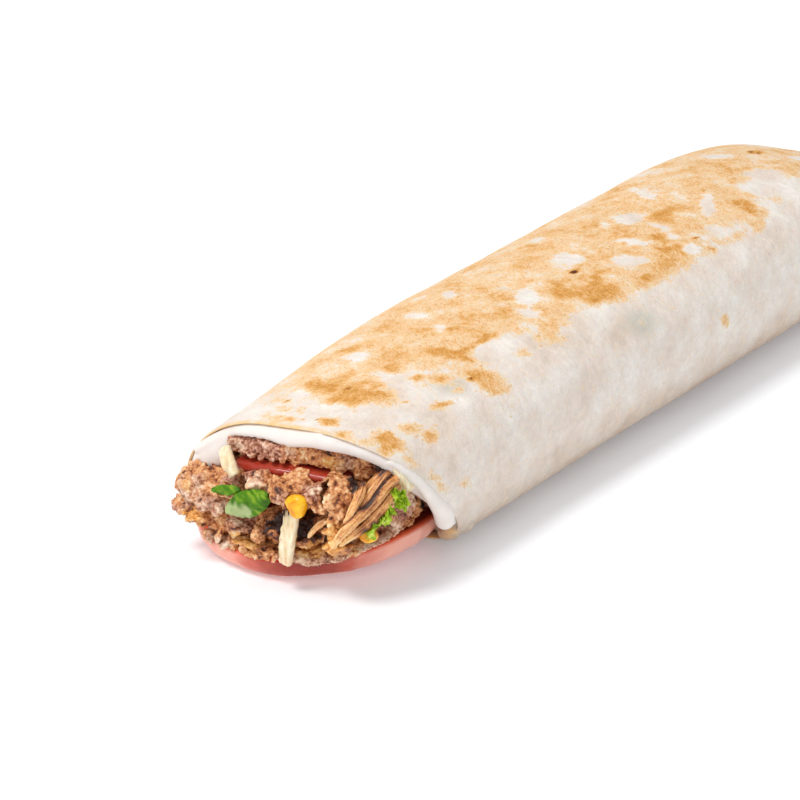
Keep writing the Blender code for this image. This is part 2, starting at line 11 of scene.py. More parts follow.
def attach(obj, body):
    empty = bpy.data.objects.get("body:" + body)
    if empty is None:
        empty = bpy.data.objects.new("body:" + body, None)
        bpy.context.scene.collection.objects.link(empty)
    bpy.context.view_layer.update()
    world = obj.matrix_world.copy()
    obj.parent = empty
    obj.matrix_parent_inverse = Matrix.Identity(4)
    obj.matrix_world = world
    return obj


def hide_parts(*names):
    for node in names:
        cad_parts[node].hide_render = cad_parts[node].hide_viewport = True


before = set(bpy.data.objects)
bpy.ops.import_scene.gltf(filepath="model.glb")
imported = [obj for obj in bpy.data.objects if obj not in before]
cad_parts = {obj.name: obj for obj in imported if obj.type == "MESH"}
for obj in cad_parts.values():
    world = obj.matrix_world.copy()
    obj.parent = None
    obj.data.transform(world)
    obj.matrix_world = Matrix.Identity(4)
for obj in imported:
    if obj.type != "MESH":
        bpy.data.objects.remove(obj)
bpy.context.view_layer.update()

mm = 0.001
fullTurn = 2 * math.pi
scene = bpy.context.scene
scene.view_settings.view_transform = "Standard"


def linear(hexColour):
    # sRGB hex to linear RGBA
    parts = [int(hexColour[i:i + 2], 16) / 255 for i in (1, 3, 5)]
    return (*[c / 12.92 if c <= 0.04045 else ((c + 0.055) / 1.055) ** 2.4 for c in parts], 1.0)


def setInputs(node, inputs):
    # a node given as a value stands for its first output, and a text for a colour
    for key, value in inputs.items():
        if isinstance(value, bpy.types.Node):
            value = value.outputs[0]
        if isinstance(value, bpy.types.NodeSocket):
            node.id_data.links.new(value, node.inputs[key])
        else:
            node.inputs[key].default_value = linear(value) if isinstance(value, str) else value


def addNode(tree, kind, inputs=None, stops=(), **settings):
    # one node with its settings, its inputs and its ramp's stops
    made = tree.nodes.new("ShaderNode" + kind)
    for key, value in settings.items():
        setattr(made, key, value)
    setInputs(made, inputs or {})
    for i, (place, colour) in enumerate(stops):
        stop = made.color_ramp.elements[i] if i < 2 else made.color_ramp.elements.new(place)
        stop.position = place
        stop.color = linear(colour)
    return made


def startMaterial(name, **values):
    # the material, its shader, what adds a node to it, and the object coordinates for its patterns
    material = bpy.data.materials.new(name)
    material.use_nodes = True
    shader = material.node_tree.nodes["Principled BSDF"]
    setInputs(shader, {key.replace("_", " "): value for key, value in values.items()})
    add = partial(addNode, material.node_tree)
    return material, shader, add, add("TexCoord").outputs["Object"]


def cadMesh(nodeName):
    # a merged copy of a CAD node, in millimetres
    bm = bmesh.new()
    bm.from_mesh(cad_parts[nodeName].data)
    bmesh.ops.remove_doubles(bm, verts=bm.verts, dist=0.002 * mm)
    bmesh.ops.scale(bm, vec=(1 / mm,) * 3, verts=bm.verts)
    return bm


def makeObject(name, bm):
    # millimetres in, a linked object in metres out
    bmesh.ops.scale(bm, vec=(mm,) * 3, verts=bm.verts)
    mesh = bpy.data.meshes.new(name)
    bm.to_mesh(mesh)
    bm.free()
    piece = bpy.data.objects.new(name, mesh)
    scene.collection.objects.link(piece)
    return piece


def addTo(piece, bm):
    # puts a mesh in millimetres into a finished piece
    bmesh.ops.scale(bm, vec=(mm,) * 3, verts=bm.verts)
    bm.from_mesh(piece.data)
    bm.to_mesh(piece.data)
    bm.free()


def addBall(bm, place, radius, fine=2):
    bmesh.ops.create_icosphere(bm, subdivisions=fine, radius=radius, matrix=Matrix.Translation(place))


def cutAcross(bm, y, keepFront):
    # keeps the part in front of y or behind it, with the cut closed
    cut = bmesh.ops.bisect_plane(bm, geom=bm.verts[:] + bm.edges[:] + bm.faces[:], dist=0.0001,
                                 plane_co=(0, y, 0), plane_no=(0, 1, 0),
                                 clear_outer=keepFront, clear_inner=not keepFront)
    edges = [e for e in cut["geom_cut"] if isinstance(e, bmesh.types.BMEdge)]
    bmesh.ops.holes_fill(bm, edges=edges, sides=0)
    bmesh.ops.triangulate(bm, faces=bm.faces)


def takeIn(bm, depth):
    bm.normal_update()
    for vert, normal in [(v, v.normal.copy()) for v in bm.verts]:
        vert.co -= normal * depth


def applyModifiers(piece):
    graph = bpy.context.evaluated_depsgraph_get()
    mesh = bpy.data.meshes.new_from_object(piece.evaluated_get(graph))
    piece.modifiers.clear()
    piece.data = mesh


def evenMesh(piece, voxel, smooth=0):
    # an even skin of small quads over the piece, ready to be roughened
    remesh = piece.modifiers.new("even", "REMESH")
    remesh.mode = "VOXEL"
    remesh.voxel_size = voxel * mm
    if smooth:
        soften = piece.modifiers.new("soften", "SMOOTH")
        soften.factor = 0.5
        soften.iterations = smooth
    applyModifiers(piece)


def placesOf(piece):
    # points and normals, in millimetres
    count = len(piece.data.vertices)
    points, normals = np.empty(count * 3), np.empty(count * 3)
    piece.data.vertices.foreach_get("co", points)
    piece.data.vertices.foreach_get("normal", normals)
    return points.reshape(-1, 3) / mm, normals.reshape(-1, 3)


def setPlaces(piece, points):
    piece.data.vertices.foreach_set("co", (points * mm).ravel())
    piece.data.update()


def swell(piece, out, wave, size):
    # pushes the skin out with soft waves of a given size, and returns where it was
    points, normals = placesOf(piece)
    push = np.array([out + wave * noise.noise(Vector(p) / size) for p in points])
    setPlaces(piece, points + normals * push[:, None])
    return points, normals


def storeValues(piece, name, values):
    attributes = piece.data.attributes
    layer = attributes.get(name) or attributes.new(name, "FLOAT", "POINT")
    layer.data.foreach_set("value", np.asarray(values, np.float32))


def finishPiece(piece, material, nodeName):
    # the look of the piece, the body it rides on and the node it stands for
    piece.data.materials.clear()
    piece.data.materials.append(material)
    piece.data.shade_smooth()
    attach(piece, "root")
    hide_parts(nodeName)
    print(piece.name, len(piece.data.polygons), "faces")


view = {
    "turn": math.radians(37.5),  # round from the open end
    "height": math.radians(26),  # above the horizon
    "distance": 0.9,
    "lens": 168.075,
    "sensor": 36,
    "target": Vector((0.334, -79.037, 29.454)) * mm,
}


def makeCamera():
    turn, height = view["turn"], view["height"]
    back = Vector((math.sin(turn) * math.cos(height), -math.cos(turn) * math.cos(height),
                   math.sin(height)))
    data = bpy.data.cameras.new("photoCamera")
    data.lens = view["lens"]
    data.sensor_width = view["sensor"]
    data.clip_start = 10 * mm
    camera = bpy.data.objects.new("photoCamera", data)
    scene.collection.objects.link(camera)
    camera.location = view["target"] + back * view["distance"]
    camera.rotation_euler = back.to_track_quat("Z", "Y").to_euler()
    scene.camera = camera


studio = {
    "sky": 0.68,
    # watts, width and place: a soft key from the left and a low fill before the mouth
    "lamps": {"softKey": (11.0, 0.45, (-0.22, -0.7, 1.3)),
              "lowFill": (1.3, 0.7, (0.1, -1.3, 0.32))},
    "tableSize": 3000,
    "tableGlow": 0.18,
    "glowTint": (0.76, 0.87, 1, 1),
}


def makeStudio():
    world = bpy.data.worlds.new("whiteStudio")
    scene.world = world
    world.use_nodes = True
    setInputs(world.node_tree.nodes["Background"], {"Color": (1, 1, 1, 1), "Strength": studio["sky"]})

    for name, (power, size, place) in studio["lamps"].items():
        data = bpy.data.lights.new(name, "AREA")
        data.shape = "DISK"
        data.size = size
        data.energy = power
        lamp = bpy.data.objects.new(name, data)
        lamp.location = place
        lamp.rotation_euler = (Vector(place) - view["target"]).to_track_quat("Z", "Y").to_euler()
        scene.collection.objects.link(lamp)

    # white matt acrylic, lit faintly from below, a little uneven in tone over 0.1 m
    material, shader, add, place = startMaterial(
        "whiteBoard", Roughness=0.65, Emission_Color=studio["glowTint"],
        Emission_Strength=studio["tableGlow"])
    cloud = add("TexNoise", {"Vector": place, "Scale": 9})
    tone = add("ValToRGB", {"Fac": cloud}, [(0.3, "#f2f2f3"), (0.7, "#f6f6f7")])
    setInputs(shader, {"Base Color": tone})
    bm = bmesh.new()
    bmesh.ops.create_grid(bm, x_segments=1, y_segments=1, size=studio["tableSize"])
    table = makeObject("table", bm)
    table.data.materials.append(material)


makeCamera()
makeStudio()
print("camera, light and table")


bread = {
    "width": 61.0,
    "height": 44.25,
    "topRound": 2.5,  # powers of the oval of its cross-section, above and below
    "bottomRound": 3.0,
    "levels": 3,  # of subdivision
    "flatTo": 1.2,  # the resting face stays plain up to this height
    "dents": 0.32,  # depth of the soft dents, and height of the griddle blisters
    "blisters": 0.22,
    # right-hand edge of the griddled top: along the roll, round from the ridge
    "toastEdge": [
        (-125, 8), (-86, 11), (-79, 15), (-63, 14), (-48, 13.5), (-40, 18), (-24, 20.5), (-5, 24),
        (17, 24.6), (47, 25), (58, 21), (75, 17), (95, 16), (125, 13),
    ],
    # where the toast fades: round from the ridge on the far side, and along the roll at the far end
    "farSide": -31,
    "farEnd": 116,
    "toast": 0.5,  # how brown the griddled top is, how much that varies, and the limit
    "toastClouds": 0.34,
    "toastLimit": 0.88,
    # round from the ridge, along the roll, long and short half-size, turn in degrees, and strength,
    # which is below 0 for a pale gap
    "spots": [
        (5, -104, 7, 4.8, 151, 1.1), (12, -101, 4.8, 4, 120, 0.8), (-3, -104, 4.6, 2.9, 115, 0.6),
        (11, -119, 2.8, 2.1, 166, 0.85), (-1, -116, 1.9, 1.7, 164, 0.5), (-2, -122, 4.1, 1.9, 175, 0.7),
        (-11, -113, 4.1, 1.5, 167, 0.4), (16, -121, 1.4, 1.2, 46, 0.7), (24, -112, 2.9, 2.1, 60, 0.95),
        (24, -112, 4.6, 2.6, 33, 0.5), (24, -103, 3.4, 1.6, 65, 0.6), (28, -100, 2.6, 1.6, 75, 0.7),
        (23, -90, 3.5, 1.4, 74, 0.85), (22, -82, 1.6, 1.1, 111, 0.9), (24, -72, 5.6, 3.2, 39, 0.85),
        (28, -84, 0.9, 0.5, 77, 0.3), (15, -85, 4.9, 1.6, 57, 0.7), (13, -88, 1.7, 1.2, 112, 0.8),
        (17, -89, 1.3, 0.9, 107, 0.35), (6, -89, 2.3, 1.7, 164, 0.8), (17, -99, 1.4, 1, 89, 0.35),
        (11, -73, 5.8, 2, 21, 0.9), (-14, -84, 3.7, 1.7, 4, 0.6), (-7, -87, 2.7, 2.2, 116, -1),
        (22, -56, 2.1, 2, 29, 0.55), (16, -65, 5.4, 2.6, 85, -1), (2, -11, 3.8, 3.1, 25, -1),
        (7, -36, 4.2, 2.5, 140, -1), (12, -42, 3.3, 2.4, 10, -0.9), (14, 0, 4.8, 2.1, 47, -1),
        (-1, 20, 4.2, 3, 63, -1), (-10, -46, 3.2, 1.7, 138, -0.9), (1, -64, 1.8, 1.5, 143, -0.8),
        (-10, -61, 3.7, 2.5, 18, -0.6), (-13, -5, 2.5, 1.6, 154, -0.7), (11, -26, 4.8, 4.1, 18, 0.6),
        (15, -16, 8.1, 1.5, 123, 0.4), (19, -15, 2.2, 1.8, 102, 0.5), (8, -48, 4.3, 2.8, 76, 0.4),
        (13, -61, 5.3, 1.6, 90, 0.6), (4, -62, 2.1, 1, 64, 0.7), (7, -16, 1.6, 1, 65, 1.2),
        (22, -47, 4, 3, 58, 0.55), (13, 66, 8.4, 7.1, 78, -1), (10, 41, 6.1, 1.6, 124, -0.9),
        (-4, 13, 2.2, 1.6, 128, -0.7), (8, 8, 4.9, 1.3, 36, -0.9), (11, 20, 5.3, 1.4, 165, -0.9),
        (20, 19, 2.5, 1.6, 90, -0.9), (-8, 36, 6.4, 1.3, 153, -0.8), (-9, 73, 4.5, 2.7, 36, -0.7),
        (17, 49, 3.7, 2, 175, 0.8), (12, 15, 2.6, 2.3, 179, 0.6), (19, 15, 2.1, 1.7, 16, 0.9),
        (16, 11, 2.8, 1.3, 61, 0.6), (5, 28, 5.7, 2.9, 84, 0.5), (21, -3, 1.7, 1.1, 65, 0.7),
        (18, -19, 7.2, 3.8, 94, 0.6), (42, 18, 2.5, 1.6, 34, 0.8), (24, 44, 2.9, 2.2, 72, 0.35),
        (21, 61, 4.2, 1.9, 108, 0.3), (-4, 84, 2.7, 2.2, 166, 1.1), (5, -97, 3.6, 2.4, 150, 0.95),
        (15, -71, 5, 2.6, 45, 0.9), (-8, -104, 4, 2.4, 120, 0.85), (19, -43, 3.6, 2.4, 50, 0.8),
        (26, -115, 2.2, 1.5, 60, 0.85), (20, 32, 4, 3, 60, -0.55), (6, -28, 4, 2.6, 60, -0.5),
        (8, 60, 4, 2.4, 60, 0.6), (12, 4, 4, 2.4, 45, 0.6), (8, -5, 4, 2.4, 50, 0.55),
        (10, -119, 3, 1.6, 160, 0.6), (9, -108, 3.4, 2, 140, 0.65), (23, -91, 2.8, 1.8, 70, 0.6),
        (17, -120, 2.2, 1.3, 60, 0.6), (15, -51, 3.4, 2.2, 60, 0.55), (-13, 55, 4.5, 3, 60, -0.4),
        (20, 55, 4, 2.6, 60, -0.4), (9, 91, 4, 2.4, 60, -0.4), (37, -105, 2, 1.4, 60, 0.45),
        (29, -101, 2.4, 1.6, 70, 0.6), (17, -28, 3.4, 2.2, 60, -0.35), (31, -110, 2.4, 1.6, 50, 0.6),
        (23, -16, 3, 2, 60, 0.5), (-2, -26, 3.6, 2.4, 40, -0.3), (1, -121, 2.4, 1.4, 160, 0.5),
        (-14, 28, 4, 2.6, 50, -0.3), (0, -37, 3.6, 2.2, 50, -0.3), (6, 80, 3.6, 2.2, 60, 0.45),
        (-17, 44, 4, 2.6, 50, -0.3), (-9, -121, 3, 1.6, 160, 0.5), (24, -105, 2.6, 1.6, 60, 0.5),
        (11, 19, 2.6, 1.8, 50, 0.45), (-16, -80, 4, 2.6, 60, -0.25), (19, -75, 4.5, 3, 50, 0.75),
        (-2, -96, 3, 2, 120, 0.6), (3, -110, 3, 1.8, 150, 0.7), (22, -117, 2, 1.3, 60, 0.6),
        (12, -100, 2.6, 1.8, 60, 0.5), (14, -8, 3, 2, 60, 0.5), (39, -103, 2, 1.4, 60, 0.4),
        (23, -43, 2.6, 1.8, 50, 0.5), (19, 25, 4, 2.6, 50, -0.45), (22, 40, 3.4, 2.4, 60, -0.4),
        (-6, 53, 3.6, 2.4, 50, -0.3), (14, -68, 3, 2, 50, 0.85), (8, 63, 3, 2, 50, 0.4),
        (-8, -107, 3.6, 2.4, 120, -0.5), (18, -83, 3, 2, 60, 0.6), (20, -38, 3, 2, 60, 0.5),
        (1, -7, 3, 2, 40, 0.5), (9, 31, 3.4, 2.4, 50, -0.45), (8, -15, 3, 2, 50, -0.4),
        (41, -102, 2.4, 1.6, 60, 0.45), (24, 28, 3, 2, 50, -0.4), (22, -112, 2.6, 1.8, 60, 0.45),
        (8, 92, 3.6, 2.4, 50, -0.4), (6, -42, 3, 2, 50, -0.4), (-18, 52, 3.6, 2.6, 50, -0.4),
        (2, -25, 3.4, 2.2, 40, -0.4), (15, 7, 3, 2, 50, -0.4), (-4, -55, 3.4, 2.2, 50, -0.35),
        (8, -96, 2.6, 1.8, 120, 0.45), (-6, -117, 2.8, 1.6, 165, 0.5), (-7, -14, 3, 2, 50, -0.35),
        (20, -120, 2.2, 1.4, 60, 0.45), (-11, -30, 3, 2, 40, 0.4), (5, -108, 2.6, 1.8, 150, 0.45),
        (-23, -11, 3.4, 2.2, 60, 0.4), (25, -75, 2.8, 1.8, 45, 0.5), (11, -24, 2.8, 1.8, 50, -0.35),
        (-3, -46, 2.6, 1.8, 60, 0.4), (43, -93, 2.2, 1.5, 60, 0.4), (27, -109, 2, 1.4, 60, 0.45),
        (16, -88, 2, 1.4, 60, 0.4), (4, -102, 3, 2, 150, 0.4), (-33, -72, 3.5, 2, 40, 0.6),
        (-37, -24, 4, 2.4, 80, 0.5), (-35, 34, 4.5, 2.2, 100, 0.5), (-41, 62, 3, 1.8, 30, 0.5),
        (-34, -50, 2.6, 1.6, 20, 0.6), (-38, 6, 3, 1.8, 110, 0.45), (-34, 84, 3.5, 2, 60, 0.55),
        (-31, -98, 3.2, 2, 70, 0.6), (-44, -84, 2.2, 1.4, 30, 0.4),
    ],
    # where the filling darkens the bread from inside: round, along, long and short half-size, turn
    "damp": [(30.5, -15, 7.0, 4.0, 70), (20, -83, 5.0, 3.4, 60)],
    # burnt specks: round from the ridge, along the roll, half-size
    "specks": [
        (7.9, -119.1, 0.5), (21.5, -76.3, 0.5), (17.5, -74.8, 0.5), (7, -16.6, 1), (18.3, 23.4, 0.6),
        (24, 24.4, 0.5), (17.7, -98.7, 0.5), (-4.8, 82.5, 0.9), (-2.2, 84.1, 0.9), (3.7, -120.7, 0.4),
        (3.2, -101.6, 0.6), (12.4, -88.2, 0.5), (-8.5, -112, 0.4), (1.4, -116.6, 0.4), (27, -96.4, 0.4),
    ],
    # balls that make the pinched corner behind the tomato: x, y, z, radius
    "fold": [
        (17.6, -84.6, 4.4, 3), (20.8, -85.6, 5.4, 3.4), (23.6, -86.6, 7.6, 3.6), (25, -88.6, 10.4, 3.2),
        (24, -90, 5.8, 2), (25.4, -90.9, 7.8, 1.9), (22, -89.2, 4.4, 1.8),
    ],
    "foldShape": (1.25, 1, 0.9, 1),
    "foldVoxel": 0.5,
}


def unroll(points):
    # millimetres round from the ridge line, right side positive, and along the roll
    angles = np.linspace(0, fullTurn, 1441)  # a quarter of a degree apart
    power = np.where(np.sin(angles) > 0, 2 / bread["topRound"], 2 / bread["bottomRound"])
    x = bread["width"] / 2 * np.sign(np.cos(angles)) * np.abs(np.cos(angles)) ** power
    z = bread["height"] / 2 * np.sign(np.sin(angles)) * np.abs(np.sin(angles)) ** power
    length = np.concatenate([[0], np.cumsum(np.hypot(np.diff(x), np.diff(z)))])
    polar = np.unwrap(np.arctan2(z, x))
    top = np.interp(math.pi / 2, polar, length)
    angle = np.arctan2(points[:, 2] - bread["height"] / 2, points[:, 0])
    angle = np.where(angle < -math.pi / 2, angle + fullTurn, angle)
    arc = np.where(angle >= 0, np.interp(angle, polar, length),
                   np.interp(angle + fullTurn, polar, length) - length[-1])
    return top - arc, points[:, 1]


def turnedTo(around, along, turn):
    # a place on the unrolled bread, measured along a mark's long and short axes
    turn = math.radians(turn)
    return (around * math.cos(turn) + along * math.sin(turn),
            along * math.cos(turn) - around * math.sin(turn))


def toastOf(around, along):
    # 0 raw, 1 toasted: the griddled top, with its right-hand edge softened over 3 mm
    edge = np.interp(along, *zip(*bread["toastEdge"]))
    base = np.clip((edge - around) / 3 + 0.5, 0, 1)
    # it starts further from the mouth on the right than on the left
    start = -100 + 0.75 * np.maximum(0, around + 6)
    left = np.clip((4 - around) / 8, 0, 1)
    base *= ((1 - left) * np.clip((along - start) / 6 + 0.4, 0, 1)
             + left * np.clip((along + 121) / 26, 0, 1))
    # the far side and the far end fade raggedly
    wander = np.array([noise.fractal((3.7, b / 16, a / 30), 1.0, 2.0, 3) for a, b in zip(around, along)])
    base *= np.clip((around - bread["farSide"] + 8 * wander) / 8, 0, 1)
    base *= np.clip((bread["farEnd"] + 9 * wander - along) / 14, 0, 1)
    cloud = np.array([noise.fractal((a / 9, b / 9, 0.3), 1.0, 2.1, 3) for a, b in zip(around, along)])
    value = base * (bread["toast"] + bread["toastClouds"] * cloud)
    # ragged outlines: each point looks up the spots and gaps from a little to one side
    shifts = np.array([[1.1 * noise.noise((a / 2.6, b / 2.6, k))
                        + 0.6 * noise.noise((a / 0.9, b / 0.9, k + 3))
                        for k in (5, 11)] for a, b in zip(around, along)])
    around, along = around + shifts[:, 0], along + shifts[:, 1]
    for a, b, long, short, turn, strength in bread["spots"]:
        p, q = turnedTo(around - a, along - b, turn)
        reach = np.clip(1.25 - np.hypot(p / long, q / short), 0, 1) ** 0.6
        value += strength * reach * (0.74 if strength > 0 else 0.9)
    value = np.minimum(value, bread["toastLimit"])
    for a, b, reach in bread["specks"]:
        value += 1.6 * np.clip(1.3 - np.hypot(around - a, along - b) / reach, 0, 1)
    return value


def dampOf(around, along):
    value = np.zeros(len(around))
    for a, b, long, short, turn in bread["damp"]:
        p, q = turnedTo(around - a, along - b, turn)
        value = np.maximum(value, np.clip(1.6 - 1.3 * np.hypot(p / long, q / short), 0, 1))
    return value


def rimDistance(points):
    # how far behind the free edge of the mouth each point lies
    steps = 90
    turn = np.arctan2(points[:, 2] - bread["height"] / 2, points[:, 0]) / fullTurn * steps
    front = np.array([points[np.abs((turn - k + steps / 2) % steps - steps / 2) < 1.2, 1].min()
                      for k in range(steps)])
    return points[:, 1] - np.interp(turn % steps, range(steps + 1), [*front, front[0]])


def addFold(piece):
    # the pinched corner of the bread that closes the mouth behind the tomato
    bm = bmesh.new()
    for x, y, z, size in bread["fold"]:
        place = Matrix.Translation((x, y, z)) @ Matrix.Diagonal(bread["foldShape"])
        bmesh.ops.create_icosphere(bm, subdivisions=4, radius=size, matrix=place)
    fold = makeObject("fold", bm)
    evenMesh(fold, bread["foldVoxel"], smooth=6)
    bm = bmesh.new()
    bm.from_mesh(piece.data)
    bm.from_mesh(fold.data)
    bm.to_mesh(piece.data)
    bm.free()
    bpy.data.objects.remove(fold)


def makeTortilla(material):
    bm = cadMesh("tortilla")
    bmesh.ops.join_triangles(bm, faces=bm.faces, angle_face_threshold=math.radians(60),
                             angle_shape_threshold=math.radians(60))
    piece = makeObject("griddledTortilla", bm)
    smooth = piece.modifiers.new("smooth", "SUBSURF")
    smooth.levels = smooth.render_levels = bread["levels"]
    applyModifiers(piece)
    addFold(piece)
    points, normals = placesOf(piece)
    around, along = unroll(points)
    toast = toastOf(around, along)
    outer = normals[:, 0] * points[:, 0] + normals[:, 2] * (points[:, 2] - bread["height"] / 2) > 0
    # dents about 15 mm across, and blisters about 3 mm across where it is toasted
    push = np.zeros(len(points))
    for i, (x, y, z) in enumerate(points):
        push[i] = bread["dents"] * noise.noise((x / 13, y / 17, z / 13))
        if outer[i]:
            blister = max(0, noise.noise((x / 3.2, y / 3.2, z / 3.2 + 9)))
            push[i] += bread["blisters"] * blister * min(1.0, max(0.15, toast[i]))
    push *= np.clip((points[:, 2] - bread["flatTo"]) / 4, 0, 1)
    # no dent or blister reaches past the roll's own length and width
    setPlaces(piece, np.clip(points + normals * push[:, None], points.min(0), points.max(0)))
    storeValues(piece, "toast", np.where(outer, toast, 0))
    storeValues(piece, "damp", np.where(outer, dampOf(around, along), 0))
    # painted shade: the bread's colour darkens below 19 mm, and its baked rim is about 1.5 mm wide
    storeValues(piece, "underShade", np.clip((19 - points[:, 2]) / 18, 0, 1) ** 1.4)
    storeValues(piece, "rim", np.clip(1.6 - rimDistance(points) / 1.1, 0, 1.6))
    corners = np.empty(len(piece.data.loops), np.int32)
    piece.data.loops.foreach_get("vertex_index", corners)
    flat = np.stack([around, along], 1)[corners] * mm
    uv = piece.data.uv_layers.new(name="unrolled")
    uv.data.foreach_set("uv", flat.astype(np.float32).ravel())
    finishPiece(piece, material, "tortilla")


def flourTortilla():
    # soft wheat flatbread: matt, floury, pale, with golden brown griddle marks of fine speckle
    material, shader, add, place = startMaterial(
        "flourTortilla", Roughness=0.72, Specular_IOR_Level=0.3, Subsurface_Weight=0.12,
        Subsurface_Scale=0.0015)
    toast, damp, underShade, rim = [add("Attribute", attribute_name=key).outputs["Fac"]
                               for key in ("toast", "damp", "underShade", "rim")]
    # speckle and pores about 0.6 mm, mottle 1.6 mm, streaks 2.4 mm, clouds 9 mm
    speckle, pore, mottle, streak, cloud = [
        add("TexNoise", {"Vector": place, "Scale": scale, "Detail": detail, "Roughness": rough,
                         "Distortion": bend})
        for scale, detail, rough, bend in ((1700, 3, 0.75, 0), (1500, 2, 0.5, 0), (620, 4, 0.7, 0),
                                           (420, 4, 0.65, 0.6), (110, 3, 0.5, 0))]

    # how toasted each place is, with a rough edge of speckle and streaks
    level = toast
    for pattern, share in ((speckle, 1.1), (streak, 1.0)):
        centred = add("Math", {0: pattern, 1: share, 2: -share / 2}, operation="MULTIPLY_ADD")
        level = add("Math", {0: level, 1: centred}, operation="ADD")
    amount = add("MapRange", {"Value": level, "From Min": 0.08, "From Max": 0.36},
                 interpolation_type="SMOOTHSTEP")
    lowered = add("Math", {0: level, 1: 0.72}, operation="MULTIPLY")
    browned = add("ValToRGB", {"Fac": lowered}, [
        (0.08, "#f3e0c6"), (0.24, "#f2d2a8"), (0.42, "#efc38f"), (0.56, "#e3a95f"), (0.72, "#d2913f"),
        (0.88, "#b06f2a"), (1.0, "#5a2f14")])
    # scorched pores, only where the bread is toasted
    pored = add("MapRange", {"Value": pore, "From Min": 0.58, "From Max": 0.7, "To Max": 0.6})
    browned = add("MixRGB", {"Fac": pored, "Color1": browned, "Color2": "#c58a45"})

    raw = add("ValToRGB", {"Fac": cloud}, [
        (0.28, "#dfcebf"), (0.42, "#ecddd0"), (0.56, "#efe5db"), (0.72, "#f6efe7")])
    mottled = add("MapRange", {"Value": mottle, "From Min": 0.3, "From Max": 0.7,
                               "To Min": 0.9, "To Max": 1.05})
    dampAmount = add("Math", {0: damp, 1: mottle}, operation="MULTIPLY")
    rimAmount = add("Math", {0: rim, 1: streak}, operation="MULTIPLY", use_clamp=True)
    # the raw bread, its damp patches, the painted shade that darkens its underside, the toast and the
    # baked rim
    skin = raw
    for share, colour, blend in ((1.0, mottled, "MULTIPLY"), (dampAmount, "#b4b09c", "MIX"),
                                 (underShade, "#bda68c", "MULTIPLY"), (amount, browned, "MIX"),
                                 (rimAmount, "#edc07c", "MIX")):
        skin = add("MixRGB", {"Fac": share, "Color1": skin, "Color2": colour}, blend_type=blend)
    # fine grain over soft creases
    crease = add("Bump", {"Height": cloud, "Strength": 0.7, "Distance": 0.0012})
    height = add("Math", {0: speckle, 1: streak}, operation="ADD")
    bump = add("Bump", {"Height": height, "Strength": 0.8, "Distance": 0.00025, "Normal": crease})
    setInputs(shader, {"Base Color": skin, "Normal": bump})
    return material


makeTortilla(flourTortilla())
print("tortilla")


